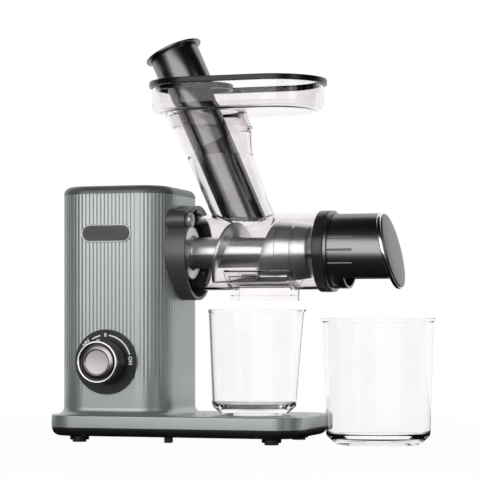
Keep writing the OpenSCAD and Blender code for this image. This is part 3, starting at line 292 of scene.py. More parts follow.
# %% Make the opaque finishes
finishes = {
    "housing_paint": moulded("housing_paint", shade(174, 180, 179), shade(181, 187, 186), (0.355, 0.365),
                             patch=9, grain=600, depth=0.0012, metallic=0.7),
    "cap_grey": moulded("cap_grey", shade(104, 107, 108), shade(112, 115, 116), (0.395, 0.405),
                        patch=14, grain=600, depth=0.002, metallic=0.5),
    "black_plastic": moulded("black_plastic", shade(22, 22, 23), shade(31, 31, 32), (0.36, 0.48),
                             grain=1500, depth=0.03),
    "gloss_black": moulded("gloss_black", shade(9, 9, 10), shade(13, 13, 14), (0.235, 0.245),
                           patch=24, grain=260, depth=0.0006, ior=2.6),
    "band_black": moulded("band_black", shade(8, 8, 8), shade(12, 12, 12), (0.27, 0.28),
                          patch=24, grain=260, depth=0.0006, ior=1.5),
    "dark_plastic": moulded("dark_plastic", shade(66, 65, 67), shade(78, 77, 79), (0.30, 0.40),
                            grain=1200, depth=0.012, metallic=0.35),
    "foot_rubber": moulded("foot_rubber", shade(38, 38, 38), shade(52, 52, 51), (0.75, 0.9),
                           grain=1400, depth=0.05),
    "seal_rubber": moulded("seal_rubber", shade(196, 196, 194), shade(208, 208, 205), (0.6, 0.75),
                           grain=1400, depth=0.03),
    "bright_trim": moulded("bright_trim", shade(228, 227, 228), shade(238, 237, 238), (0.18, 0.19),
                           patch=40, grain=300, depth=0.0008, metallic=1.0),
    "rim_silver": moulded("rim_silver", shade(238, 237, 238), shade(246, 245, 246), (0.36, 0.37),
                          patch=40, grain=300, depth=0.0008, metallic=0.6),
    "spun_silver": moulded("spun_silver", shade(178, 171, 175), shade(186, 179, 183), (0.285, 0.295),
                           patch=30, grain=420, depth=0.0008, metallic=1.0),
    "steel": moulded("steel", shade(176, 178, 180), shade(198, 199, 200), (0.26, 0.38),
                     patch=90, grain=1600, depth=0.006, metallic=1.0),
    "brass_parts": moulded("brass_parts", shade(196, 160, 84), shade(214, 180, 104), (0.25, 0.38),
                           patch=90, grain=1500, depth=0.006, metallic=1.0),
    "cast_plates": moulded("cast_plates", shade(160, 162, 164), shade(184, 185, 187), (0.45, 0.6),
                           patch=60, grain=700, depth=0.05, metallic=0.9),
    "gear_plastic": moulded("gear_plastic", shade(214, 208, 188), shade(228, 223, 205), (0.38, 0.5),
                            grain=1200, depth=0.02, subsurface_weight=0.05),
    "board_green": moulded("board_green", shade(18, 84, 44), shade(30, 104, 58), (0.25, 0.45),
                           patch=160, grain=900, depth=0.03),
    "motor_steel": moulded("motor_steel", shade(128, 131, 136), shade(150, 152, 156), (0.35, 0.5),
                           patch=70, grain=1000, depth=0.01, metallic=0.9),
    "auger_finish": moulded("auger_finish", shade(218, 219, 218), shade(226, 227, 226), (0.305, 0.315),
                            patch=12, grain=380, depth=0.001, metallic=0.95),
    "strainer_steel": moulded("strainer_steel", shade(140, 141, 145), shade(168, 168, 171), (0.28, 0.4),
                              patch=90, grain=1800, depth=0.006, metallic=1.0),
    "disc_grey": moulded("disc_grey", shade(92, 90, 93), shade(99, 97, 100), (0.31, 0.32),
                         patch=20, grain=420, depth=0.0012, metallic=0.85),
    "badge_dark": moulded("badge_dark", shade(66, 66, 69), shade(78, 78, 81), (0.31, 0.325),
                          patch=60, grain=1500, depth=0.008, pull=(0.08, 1, 1), metallic=0.8),
    "coupling_metal": moulded("coupling_metal", shade(94, 91, 94), shade(102, 99, 102), (0.40, 0.41),
                              patch=18, grain=420, depth=0.0012, metallic=0.6),
    "button_metal": moulded("button_metal", shade(196, 193, 196), shade(206, 203, 206), (0.30, 0.31),
                            patch=30, grain=420, depth=0.0012, metallic=0.7),
    "collar_black": moulded("collar_black", shade(56, 54, 56), shade(64, 62, 64), (0.225, 0.235),
                            patch=20, grain=420, depth=0.0015, metallic=0.5),
    "cap_black": moulded("cap_black", shade(18, 17, 18), shade(24, 23, 24), (0.275, 0.285),
                         patch=20, grain=380, depth=0.0012, metallic=0.1, ior=3.3),
    "knob_metal": moulded("knob_metal", shade(80, 76, 79), shade(92, 88, 91), (0.315, 0.325),
                          patch=24, grain=420, depth=0.0012, metallic=0.8),
    "dial_print": moulded("dial_print", shade(244, 244, 244), shade(251, 251, 251), (0.5, 0.6),
                          grain=1500, depth=0.01),
}
print("opaque finishes:", len(finishes))

# %% [markdown]
# ## Clear plastic
# The chamber, the tray and both vessels are clear. A Principled shader with its
# transmission at 1 bends light as the plastic does. Lamps can't find their way through bent
# surfaces in a few samples, so for shadow rays alone the plastic turns into a plain tinted
# window, and what stands inside is lit.

# %% Make the clear finish
def clear(name, dark, light, ior, window):
    """Clear plastic with a faint waviness, tinted between dark and light; lamps see the window tint."""
    made, tree, place = new_finish(name)
    slow = node(tree, "ShaderNodeTexNoise", {"Vector": place, "Scale": 45.0, "Detail": 1.0})
    colour = ramp(tree, slow.outputs["Fac"], [(0.3, dark), (0.7, light)])
    relief = node(tree, "ShaderNodeBump", {"Height": slow.outputs["Fac"], "Strength": 1.0,
                                           "Distance": 0.003 * MM})
    body = node(tree, "ShaderNodeBsdfPrincipled",
                {"Base Color": colour, "Roughness": spread(tree, slow.outputs["Fac"], 0.0, 0.02), "IOR": ior,
                 "Transmission Weight": 1.0, "Normal": relief.outputs["Normal"]})
    through = node(tree, "ShaderNodeBsdfTransparent", {"Color": window})
    path = node(tree, "ShaderNodeLightPath")
    both = node(tree, "ShaderNodeMixShader", {0: path.outputs["Is Shadow Ray"], 1: body.outputs["BSDF"],
                                              2: through.outputs["BSDF"]})
    seal(tree, both.outputs["Shader"])
    return made


finishes["clear_plastic"] = clear("clear_plastic", shade(246, 242, 244), shade(251, 249, 250), 1.4,
                                  (0.93, 0.93, 0.93, 1.0))
finishes["vessel_plastic"] = clear("vessel_plastic", shade(253, 253, 253), shade(255, 255, 255), 1.25,
                                   (0.97, 0.97, 0.97, 1.0))
print("all finishes:", len(finishes))

# %% [markdown]
# ## Geometry Nodes in a few helpers
# Ribs, slats, screws and coils repeat, so they come from node trees with named inputs. One
# helper opens a tree, one closes it with Realize Instances and Set Material, and one runs
# it on a holder object and hands back a plain mesh. The modifier goes away with its holder.

# %% Geometry Nodes helpers
SOCKETS = {int: "NodeSocketInt", float: "NodeSocketFloat", tuple: "NodeSocketVector",
           bpy.types.Material: "NodeSocketMaterial"}


def open_tree(name, inputs):
    """A geometry tree with a geometry input and one named input for each entry."""
    tree = bpy.data.node_groups.new(name, "GeometryNodeTree")
    tree.interface.new_socket("Geometry", in_out="OUTPUT", socket_type="NodeSocketGeometry")
    tree.interface.new_socket("Geometry", in_out="INPUT", socket_type="NodeSocketGeometry")
    for label, value in inputs.items():
        tree.interface.new_socket(label, in_out="INPUT", socket_type=SOCKETS[type(value)])
    return tree, tree.nodes.new("NodeGroupInput").outputs


def close_tree(tree, shape, finish):
    """Ends a tree: instances become real, the finish is set, and the result goes out."""
    real = node(tree, "GeometryNodeRealizeInstances", {0: shape}).outputs[0]
    painted = node(tree, "GeometryNodeSetMaterial", {"Geometry": real, "Material": finish})
    node(tree, "NodeGroupOutput", {0: painted.outputs[0]})


def reckon(tree, operation, *values, **settings):
    """One Math node, from its values to its result."""
    return node(tree, "ShaderNodeMath", dict(enumerate(values)), operation=operation, **settings).outputs[0]


def grow(name, tree, inputs, seed):
    """Runs a tree on a seed mesh, with its inputs set by identifier, and returns a plain mesh."""
    holder = bpy.data.objects.new(name + "_holder", seed)
    bpy.context.scene.collection.objects.link(holder)
    run = holder.modifiers.new("grow", "NODES")
    run.node_group = tree
    for item in tree.interface.items_tree:
        if item.in_out == "INPUT" and item.name in inputs:
            run[item.identifier] = inputs[item.name]
    mesh = bpy.data.meshes.new_from_object(holder.evaluated_get(bpy.context.evaluated_depsgraph_get()))
    bpy.data.objects.remove(holder)
    mesh.name = name
    print(name, "has", len(mesh.polygons), "faces")
    return mesh


def spots(points):
    """A seed mesh of loose points."""
    mesh = bpy.data.meshes.new("spots")
    mesh.from_pydata([tuple(p) for p in points], [], [])
    return mesh


# %% [markdown]
# ## The ribbed tower
# Fine upright ribs run all round the tower and fade out towards its foot. A bump map would
# leave the corners and the outline smooth, so the ribs are real. The tree samples a rounded
# rectangle once for every point of a grid, and pushes the point in by a wave that follows
# the rib count. The grid closes on itself as a sleeve, and the sleeve is cut off the solid
# housing, so that the openings for the coupling and the grille stay as they are.

# %% Grow the ribs and cut them into the housing
RIB_ROWS = 34
sleeve, given = open_tree("rib_sleeve", {
    "Finish": finishes["housing_paint"], "Width": 0.1, "Depth": 0.1, "Corner": 0.03, "Middle": 0.0, "Low": 0.0,
    "High": 0.2, "Fade Low": 0.0, "Fade High": 0.1, "Ribs": 100, "Relief": 0.001, "Shave": 0.0001})
plan = node(sleeve, "GeometryNodeCurvePrimitiveQuadrilateral", {"Width": given["Width"], "Height": given["Depth"]})
soft_plan = node(sleeve, "GeometryNodeFilletCurve", {"Curve": plan.outputs[0], "Count": 32, "Radius": given["Corner"]},
                 mode="POLY").outputs[0]
columns = reckon(sleeve, "MULTIPLY_ADD", given["Ribs"], 8.0, 1.0)
grid = node(sleeve, "GeometryNodeMeshGrid", {"Size X": 1.0, "Size Y": 1.0, "Vertices X": columns,
                                             "Vertices Y": RIB_ROWS + 3}).outputs["Mesh"]
at = node(sleeve, "ShaderNodeSeparateXYZ", {0: node(sleeve, "GeometryNodeInputPosition").outputs[0]}).outputs
around = reckon(sleeve, "ADD", at[0], 0.5, use_clamp=True)
row = reckon(sleeve, "ROUND", reckon(sleeve, "MULTIPLY_ADD", at[1], RIB_ROWS + 2.0, RIB_ROWS / 2 + 1.0))
rise = reckon(sleeve, "DIVIDE", reckon(sleeve, "SUBTRACT", row, 1.0), RIB_ROWS - 1.0, use_clamp=True)
rise = reckon(sleeve, "POWER", rise, 1.8)
outside = reckon(sleeve, "MAXIMUM", reckon(sleeve, "LESS_THAN", row, 0.5),
                 reckon(sleeve, "GREATER_THAN", row, RIB_ROWS + 0.5))
rise = reckon(sleeve, "MULTIPLY", rise, reckon(sleeve, "LESS_THAN", row, RIB_ROWS + 1.5))
height = reckon(sleeve, "MULTIPLY_ADD", rise, reckon(sleeve, "SUBTRACT", given["High"], given["Low"]), given["Low"])
fade = node(sleeve, "ShaderNodeMapRange", {"Value": height, "From Min": given["Fade Low"],
                                           "From Max": given["Fade High"]}, interpolation_type="SMOOTHSTEP")
turn = reckon(sleeve, "MULTIPLY", reckon(sleeve, "MULTIPLY", around, given["Ribs"]), 2 * math.pi)
wave = reckon(sleeve, "MULTIPLY_ADD", reckon(sleeve, "COSINE", turn), -0.5, 0.5)
depth = reckon(sleeve, "MULTIPLY", reckon(sleeve, "MULTIPLY", wave, fade.outputs[0]), given["Relief"])
push = reckon(sleeve, "MULTIPLY", reckon(sleeve, "ADD", depth, given["Shave"]), -1.0)
push = reckon(sleeve, "MULTIPLY_ADD", outside, reckon(sleeve, "SUBTRACT", 6 * MM, push), push)
walk = node(sleeve, "GeometryNodeSampleCurve", {0: soft_plan, "Factor": around}, mode="FACTOR")
outward = node(sleeve, "ShaderNodeVectorMath", {0: walk.outputs["Tangent"], 1: (0, 0, 1)}, operation="CROSS_PRODUCT")
pushed = node(sleeve, "ShaderNodeVectorMath", {0: outward.outputs[0], "Scale": push}, operation="SCALE")
moved = node(sleeve, "ShaderNodeVectorMath", {0: walk.outputs["Position"], 1: pushed.outputs[0]}, operation="ADD")
lift = node(sleeve, "ShaderNodeCombineXYZ", {0: given["Middle"], 2: height})
spot = node(sleeve, "ShaderNodeVectorMath", {0: moved.outputs[0], 1: lift.outputs[0]}, operation="ADD")
shaped = node(sleeve, "GeometryNodeSetPosition", {"Geometry": grid, "Position": spot.outputs[0]}).outputs[0]
welded = node(sleeve, "GeometryNodeMergeByDistance", {"Geometry": shaped, "Distance": 1e-6}).outputs[0]
closed = node(sleeve, "GeometryNodeFlipFaces", {0: welded}).outputs[0]
ribbed = node(sleeve, "GeometryNodeMeshBoolean", {0: given["Geometry"], 1: closed}, operation="DIFFERENCE",
              solver="MANIFOLD").outputs[0]
close_tree(sleeve, ribbed, given["Finish"])

tower_corner = 33 * MM
wall_top = tower_hi.z - 8.5 * MM
ribbed_housing = grow("ribbed_housing", sleeve, {
    "Finish": finishes["housing_paint"], "Width": tower_hi.x - tower_lo.x, "Depth": tower_hi.y - tower_lo.y,
    "Corner": tower_corner, "Middle": TOWER_X, "Low": 36 * MM, "High": wall_top + 2 * MM, "Fade Low": 40 * MM,
    "Fade High": 90 * MM, "Ribs": 109, "Relief": 0.34 * MM, "Shave": 0.06 * MM}, merged_copy("housing", "housing_copy"))
dress(bpy.data.objects.new("ribbed_housing", ribbed_housing), finishes["housing_paint"], "base", ["housing"],
      sharp=42)

# %% [markdown]
# ## Softened edges
# No moulded edge is sharp: a small rounding catches the light and outlines the part. The
# solids of the machine have crisp edges, so some are copied, welded, freed of the lines
# between flat triangles, and bevelled only where two faces meet at a clear angle.

# %% Round the edges of moulded parts
def softened(node_name, name, finish, body, width, steps=3, sharp=35):
    """A copy of a solid with rounded edges, width in millimetres."""
    bm = bmesh.new()
    bm.from_mesh(merged_copy(node_name, name + "_raw"))
    bmesh.ops.dissolve_limit(bm, angle_limit=math.radians(0.6), verts=bm.verts, edges=bm.edges)
    weight = bm.edges.layers.float.new("bevel_weight_edge")
    for e in bm.edges:
        e[weight] = float(e.calc_face_angle_signed(0.0) > math.radians(38))
    flat = bpy.data.meshes.new(name + "_flat")
    bm.to_mesh(flat)
    bm.free()
    holder = bpy.data.objects.new(name + "_holder", flat)
    bpy.context.scene.collection.objects.link(holder)
    edge = holder.modifiers.new("edge", "BEVEL")
    edge.width, edge.segments, edge.limit_method = width * MM, steps, "WEIGHT"
    edge.use_clamp_overlap = True
    mesh = bpy.data.meshes.new_from_object(holder.evaluated_get(bpy.context.evaluated_depsgraph_get()))
    bpy.data.objects.remove(holder)
    mesh.name = name
    made = dress(bpy.data.objects.new(name, mesh), finish, body, [node_name], sharp)
    print(name, "has", len(mesh.polygons), "faces")
    return made


softened("coupling_ring", "coupling_ring_soft", finishes["coupling_metal"], "base", 0.9)
button = softened("release_button", "release_button_soft", finishes["button_metal"], "release", 0.7)
button_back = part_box("release_button")[0].x + 0.06 * MM
for v in button.data.vertices:
    v.co.x = max(v.co.x, button_back)
softened("lock_collar", "lock_collar_soft", finishes["collar_black"], "collar", 1.0)
softened("end_cap", "end_cap_soft", finishes["cap_black"], "cap", 0.6)
softened("cap_ring", "cap_ring_soft", finishes["bright_trim"], "cap", 1.1)
softened("pusher", "pusher_soft", finishes["gloss_black"], "pusher", 0.7)
softened("pusher_lip", "pusher_lip_soft", finishes["gloss_black"], "pusher", 0.9)
softened("chute_guard", "chute_guard_soft", finishes["band_black"], "tray", 0.7)
strainer = bpy.data.objects.new("juice_strainer_clear", merged_copy("juice_strainer", "juice_strainer_clear"))
dress(strainer, finishes["clear_plastic"], "chamber", ["juice_strainer"])
softened("tray_band", "tray_band_soft", finishes["band_black"], "tray", 1.1)

# %% [markdown]
# ## Badge and dial
# The badge is a dark pill in a bright rounded rim. The rim's section is drawn once and led
# round a pill. The dial's print is raised by a hair: letters come from text, the two arcs
# from thin ring sectors, and everything becomes one plain mesh in the dial's own place.

# %% Badge rim
def pill_sweep(bm, place, span, section, steps=24):
    """Leads a closed section of (distance, height) points round a pill of the given span."""
    rings = []
    for half in (0, 1):
        for k in range(steps + 1):
            turn = math.pi * (half + k / steps) - math.pi / 2
            shift = span / 2 * (1 if half == 0 else -1)
            rings.append([bm.verts.new(place @ Vector((shift + d * math.cos(turn), d * math.sin(turn), h)))
                          for d, h in section])
    for a, b in zip(rings, rings[1:] + rings[:1]):
        for k in range(len(section)):
            bm.faces.new([a[k], b[k], b[(k + 1) % len(section)], a[(k + 1) % len(section)]])


badge_lo, badge_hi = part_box("badge_rim")
badge_centre = (badge_lo + badge_hi) / 2
badge_out = (badge_hi.z - badge_lo.z) / 2
badge_span = badge_hi.x - badge_lo.x - 2 * badge_out
badge_place = frame_at((badge_centre.x, badge_hi.y, badge_centre.z), (0, -1, 0), (1, 0, 0))
RIM = 1.5 * MM
proud = badge_hi.y - badge_lo.y
rim_section = [(badge_out - RIM, -0.8 * MM), (badge_out, -0.8 * MM)] + [
    (badge_out - RIM / 2 + RIM / 2 * math.cos(math.pi * k / 10),
     proud - 0.75 * MM + 0.75 * MM * math.sin(math.pi * k / 10)) for k in range(11)]
bm = bmesh.new()
pill_sweep(bm, badge_place, badge_span, rim_section)
piece("badge_rim_round", bm, finishes["rim_silver"], "base", ["badge_rim"])
print("badge rim span", round(badge_span, 4))

# %% Dial print
PRINT_PROUD = 0.15 * MM


def on_dial(angle, radius):
    """The dial's place at an angle clockwise from the top, with the letters' tops outwards."""
    a = math.radians(angle)
    up = Vector((math.sin(a), 0, math.cos(a)))
    across = Vector((math.cos(a), 0, -math.sin(a)))
    turn = Matrix((across, up, Vector((0, -1, 0)))).transposed().to_4x4()
    return Matrix.Translation(Vector((DIAL_X, DIAL_FACE_Y, DIAL_Z)) + up * radius) @ turn


def letters(bm, words, angle, radius, size):
    """Adds a word as thin raised letters."""
    text = bpy.data.curves.new(words, "FONT")
    text.body, text.size, text.extrude = words, size, PRINT_PROUD
    text.align_x, text.align_y = "CENTER", "CENTER"
    text.resolution_u = 4
    text.offset = size * 0.036
    holder = bpy.data.objects.new(words, text)
    bpy.context.scene.collection.objects.link(holder)
    mesh = bpy.data.meshes.new_from_object(holder.evaluated_get(bpy.context.evaluated_depsgraph_get()))
    bpy.data.objects.remove(holder)
    mesh.transform(on_dial(angle, radius))
    bm.from_mesh(mesh)


def print_arc(bm, start, end, radius, width):
    """Adds a raised arc between two angles."""
    count = max(4, int((end - start) / 3))
    rings = []
    for k in range(count + 1):
        a = math.radians(start + (end - start) * k / count)
        rings.append([bm.verts.new(Vector((DIAL_X + r * math.sin(a), y, DIAL_Z + r * math.cos(a))))
                      for r, y in ((radius - width / 2, DIAL_FACE_Y + PRINT_PROUD),
                                   (radius + width / 2, DIAL_FACE_Y + PRINT_PROUD),
                                   (radius + width / 2, DIAL_FACE_Y - PRINT_PROUD),
                                   (radius - width / 2, DIAL_FACE_Y - PRINT_PROUD))])
    for a, b in zip(rings, rings[1:]):
        for k in range(4):
            bm.faces.new([a[k], b[k], b[(k + 1) % 4], a[(k + 1) % 4]])
    bm.faces.new(rings[0])
    bm.faces.new(list(reversed(rings[-1])))


bm = bmesh.new()
for words, angle, radius, size in (("REV", -47.6, 28.0, 5.4), ("0", 0, 27.2, 5.2), ("ON", 87, 26.8, 5.4)):
    letters(bm, words, angle, radius * MM, size * MM)
for start, end in ((-32, -12), (8, 74)):
    print_arc(bm, start, end, 27.2 * MM, 1.4 * MM)
piece("dial_print", bm, finishes["dial_print"], "base", sharp=30)
print("dial centre", round(DIAL_X, 4), round(DIAL_Z, 4))

# %% [markdown]
# ## The knob
# The knob is turned: a dark cone, a polished ring on its front edge, a black gap, and a
# silver cap with a slope that falls into a shallow dish. A small light mark on top of the
# cone shows where it points. All of them turn with the knob.

# %% Turn the knob
knob_lo, knob_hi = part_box("knob_body")
KNOB_Y = knob_hi.y
knob_place = frame_at((DIAL_X, KNOB_Y, DIAL_Z), (0, -1, 0), (1, 0, 0))
cap_front = KNOB_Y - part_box("knob_cap")[0].y
ring_front = KNOB_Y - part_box("knob_ring")[0].y
CONE_BACK, CONE_FRONT, CONE_LONG = 23 * MM, 21.5 * MM, 22 * MM


def turned(name, corners, place, finish, body, stands_for, sharp=35, segments=ROUND, closed=False):
    """A turned piece from its corners in millimetres."""
    bm = bmesh.new()
    lathe(bm, [(r * MM, h * MM) for r, h in rounded(corners)], place, segments, closed)
    return piece(name, bm, finish, body, stands_for, sharp)


turned("knob_cone", [(0, 18, 0), (3, 18, 0), (3, 0, 0), (23, 0, 0.5), (21.5, 22, 0.3), (18.7, 22, 0), (18.7, 19.5, 0),
                     (17.3, 19.5, 0), (17.3, 21.6, 0), (0, 21.6, 0)], knob_place, finishes["knob_metal"], "knob",
       ["knob_body"])
turned("knob_ring_round", [(18.9, 21.9, 0.1), (21.5, 21.9, 0.1), (21.5, ring_front / MM, 1.1),
                           (18.9, ring_front / MM, 1.1), (18.9, 21.9, 0)], knob_place, finishes["bright_trim"],
       "knob", ["knob_ring"])
top = cap_front / MM
turned("knob_cap_dished", [(0, 21.5, 0), (17.1, 21.5, 0), (17.1, top - 1.5, 0.4), (13.3, top, 0.7), (12.2, top - 1.2, 0.5),
                           (0, top - 1.35, 0)], knob_place, finishes["spun_silver"], "knob", ["knob_cap"],
       sharp=50)

bm = bmesh.new()
mark = []
for i in range(5):
    for j in range(7):
        h = (17.6 + 3.6 * i / 4) * MM
        a = math.radians(-3.6 + 7.2 * j / 6)
        r = CONE_BACK + (CONE_FRONT - CONE_BACK) * h / CONE_LONG
        mark.append([bm.verts.new(Vector((DIAL_X + s * math.sin(a), KNOB_Y - h, DIAL_Z + s * math.cos(a))))
                     for s in (r - 0.3 * MM, r + 1.1 * MM)])
for layer in (0, 1):
    for i in range(4):
        for j in range(6):
            bm.faces.new([mark[i * 7 + j][layer], mark[i * 7 + j + 1][layer],
                          mark[i * 7 + j + 8][layer], mark[i * 7 + j + 7][layer]])
edge = [0 * 7 + j for j in range(7)] + [i * 7 + 6 for i in range(1, 5)] + [28 + j for j in range(5, -1, -1)] + \
       [i * 7 for i in range(3, 0, -1)]
for a, b in zip(edge, edge[1:] + edge[:1]):
    bm.faces.new([mark[a][0], mark[b][0], mark[b][1], mark[a][1]])
piece("knob_mark", bm, finishes["dial_print"], "knob")
print("knob front at", round(KNOB_Y - cap_front, 4))

# %% [markdown]
# ## The auger
# The auger is one casting: a shaft, a disc behind it, a thin winding that grows into the
# front of the large end, and a low scraper along the bottom. Each of these is a closed
# form of its own; a boolean union makes them one skin. The winding is swept row by row
# with a section whose root flares into the shaft and whose crest is rounded.

# %% Joining closed forms
def closed_mesh(name, bm):
    """Welds a bmesh and turns it into a mesh with its faces outwards."""
    bmesh.ops.remove_doubles(bm, verts=bm.verts, dist=1e-6)
    bmesh.ops.recalc_face_normals(bm, faces=bm.faces)
    mesh = bpy.data.meshes.new(name)
    bm.to_mesh(mesh)
    bm.free()
    return mesh


def joined(first, second, operation="UNION"):
    """The union or the difference of two closed meshes, as one mesh."""
    pair = [bpy.data.objects.new("form", mesh) for mesh in (first, second)]
    for form in pair:
        bpy.context.scene.collection.objects.link(form)
    work = pair[0].modifiers.new("work", "BOOLEAN")
    work.operation, work.solver, work.object = operation, "MANIFOLD", pair[1]
    mesh = bpy.data.meshes.new_from_object(pair[0].evaluated_get(bpy.context.evaluated_depsgraph_get()))
    for form in pair:
        bpy.data.objects.remove(form)
    return mesh


def winding(rows):
    """A closed sweep round the auger: rows of (x, angle, section), angle 0 down and 90 to the rear."""
    bm = bmesh.new()
    rings = []
    for x, angle, section in rows:
        a = math.radians(angle)
        rings.append([bm.verts.new(Vector(((x + w) * MM, r * MM * math.sin(a), AXIS_Z - r * MM * math.cos(a))))
                      for r, w in section])
    for a, b in zip(rings, rings[1:]):
        for k in range(len(a)):
            bm.faces.new([a[k], b[k], b[(k + 1) % len(a)], a[(k + 1) % len(a)]])
    bm.faces.new(rings[0])
    bm.faces.new(list(reversed(rings[-1])))
    bmesh.ops.triangulate(bm, faces=[f for f in bm.faces if len(f.verts) > 4])
    return closed_mesh("winding", bm)


def blade(radius, width, root=15.2):
    """The section of the winding: flared root, straight flanks, rounded crest."""
    return [(11.5, -2.4), (root + 0.3, -2.4), (root + 1.2, -1.2), (root + 3.4, -0.1), (radius - 1.4, 0.25),
            (radius - 0.4, 0.6), (radius, 1.4), (radius, width - 1.4), (radius - 0.4, width - 0.6),
            (radius - 1.4, width - 0.25), (root + 3.4, width + 0.1), (root + 1.2, width + 1.2),
            (root + 0.3, width + 2.4), (11.5, width + 2.4)]


# %% Cast the auger
PITCH, FLIGHT_X, FLIGHT_R, BODY_X, BODY_R, TIP_X = 49.0, 7.5, 31.0, 97.8, 30.8, 132.5
RAMP_X = BODY_X - 0.75 * PITCH
auger_place = frame_at((0, 0, AXIS_Z), (1, 0, 0))
bm = bmesh.new()
lathe(bm, [(r * MM, x * MM) for r, x in rounded([
    (0, -8.4, 0), (9.5, -8.4, 0.4), (9.5, -4, 0.4), (27.6, -4, 0.8), (27.6, 3.5, 1.6), (18.2, 3.5, 1.8),
    (16.2, 7.5, 3), (15.3, 98.8, 0), (BODY_R - 1.2, 98.8, 0), (BODY_R, 99.6, 0.8), (29.3, 114.6, 0.4), (28.5, 115.4, 0.3),
    (28.4, 116.8, 0.3), (29.0, 117.6, 0.4), (26.9, 131.2, 2.0), (23, 132.5, 1.5), (6.2, 132.5, 0), (6.2, 153.4, 0.6),
    (0, 153.9, 0)])], auger_place)
auger = closed_mesh("auger_core", bm)
bm = bmesh.new()
lathe(bm, [(0, -15.9 * MM), (8.05 * MM, -15.9 * MM), (8.05 * MM, -8 * MM), (0, -8 * MM)], auger_place, 6)
auger = joined(auger, closed_mesh("hexagon", bm))

flight = []
for k in range(81):
    x = FLIGHT_X + (RAMP_X - FLIGHT_X) * k / 80
    grown = min(1.0, 0.35 + k / 14)
    flight.append((x, 90 + 360 * (RAMP_X - x) / PITCH, blade(17 + (FLIGHT_R - 17) * grown, 4)))
auger = joined(auger, winding(flight))
front = []
for k in range(49):
    x = RAMP_X + (0.75 * PITCH - 1.6) * k / 48
    wide = BODY_X + 1.4 - x
    front.append((x, 90 - 360 * (x - RAMP_X) / PITCH,
                 [(11.5, -2.0), (15.5, -2.0), (16.4, -1.0), (18.6, 0), (BODY_R - 1.6, 0.3), (BODY_R - 0.5, 0.8),
                  (BODY_R, 1.8), (BODY_R, wide), (11.5, wide)]))
auger = joined(auger, winding(front))
scraper = []
for k in range(25):
    t = k / 24
    x, lead, trail = 27.5 + 48 * t, -1 - 38 * t ** 1.25, 3 + 30 * t
    thick = 1.2 + 1.6 * t
    arc = [lead + (trail - lead) * j / 6 for j in range(7)]
    scraper.append((x, 0, [(FLIGHT_R + 0.1, a) for a in arc] + [(FLIGHT_R + 0.1 - thick, a) for a in reversed(arc)]))
bm = bmesh.new()
rings = [[bm.verts.new(Vector((x * MM, r * MM * math.sin(math.radians(a)), AXIS_Z - r * MM * math.cos(math.radians(a)))))
          for r, a in section] for x, _, section in scraper]
for a, b in zip(rings, rings[1:]):
    for k in range(len(a)):
        bm.faces.new([a[k], b[k], b[(k + 1) % len(a)], a[(k + 1) % len(a)]])
bm.faces.new(rings[0])
bm.faces.new(list(reversed(rings[-1])))
auger = joined(auger, closed_mesh("scraper", bm))
auger.name = "auger_cast"
dress(bpy.data.objects.new("auger_cast", auger), finishes["auger_finish"], "drive", ["auger"], sharp=38)
print("auger has", len(auger.polygons), "faces")

# %% [markdown]
# ## Jug and pulp container
# Both vessels are the same kind of moulding: a foot ring, a chamfer, a tapering wall and a
# lip. One outline goes up the outside and down the inside, so the wall has its thickness
# from the start. The jug's spout is a gentle pull on the points near the rim.

# %% Mould the vessels
def vessel(name, solid, low, foot, wall, lip, lip_high, spout):
    """A clear vessel in the place of a solid; sizes in millimetres, radii first."""
    lo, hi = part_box(solid)
    rim = (hi.y - lo.y) / 2 / MM
    tall = (hi.z - lo.z) / MM
    neck = rim - lip
    corners = [(0, 5.2, 0), (foot - 4.5, 5.2, 1.5), (foot - 2.2, 0, 0.6), (foot, 0, 0.8), (low, 9, 5),
               (neck, tall - lip_high - 1.2, 1), (rim, tall - lip_high, 0.6), (rim, tall, 0.9),
               (neck - wall, tall, 0.7), (neck - wall, tall - lip_high - 1, 1), (low - wall, 12, 4), (low - wall - 8, 8.6, 3),
               (0, 8.6, 0)]
    bm = bmesh.new()
    axis_x = lo.x + rim * MM
    rings = lathe(bm, [(r * MM, h * MM) for r, h in rounded(corners, 6)],
                  Matrix.Translation(Vector((axis_x, (lo.y + hi.y) / 2, lo.z))), 128)
    for v in (v for ring in rings for v in ring):
        level = max(0.0, (v.co.z - hi.z + 26 * MM) / (26 * MM))
        turn = math.degrees(math.atan2(v.co.y - (lo.y + hi.y) / 2, v.co.x - axis_x))
        v.co.x += spout * MM * level ** 2 * math.exp(-(turn / 15) ** 2)
    return piece(name, bm, finishes["vessel_plastic"], {"juice_jug": "jug"}.get(solid, "container"), [solid],
                 sharp=50)


vessel("juice_jug_moulded", "juice_jug", 43.5, 33.5, 2.2, 0.8, 2.2, 7.2)
vessel("pulp_container_moulded", "pulp_container", 52.5, 42.7, 2.2, 1.3, 3.0, 0)

# %% [markdown]
# ## The slanted disc
# The end cap closes with a gently domed disc in a plane that leans back. It is turned
# upright, and a shear leans it, so its edge stays round when it is seen along the auger.

# %% Lean and dome the disc
disc_lo, disc_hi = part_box("cap_disc")
LEAN = math.tan(math.radians(13))
disc_r = (disc_hi.y - disc_lo.y) / 2
face_x = disc_hi.x - 2 * disc_r * LEAN
shear = Matrix(((1, 0, -LEAN, LEAN * (AXIS_Z + disc_r)), (0, 1, 0, 0), (0, 0, 1, 0), (0, 0, 0, 1)))
disc_place = shear @ frame_at((face_x, 0, AXIS_Z), (1, 0, 0))
rim_r = disc_r / MM
turned("cap_disc_domed", [(0, -3.0, 0), (rim_r, -3.0, 0), (rim_r, -1.9, 0.5), (rim_r - 2.4, -1.3, 0.8), (rim_r * 0.66, -0.45, 9),
                          (0, -0.05, 0)], disc_place, finishes["disc_grey"], "cap", ["cap_disc"], sharp=50)
print("disc face at", round(face_x, 4))

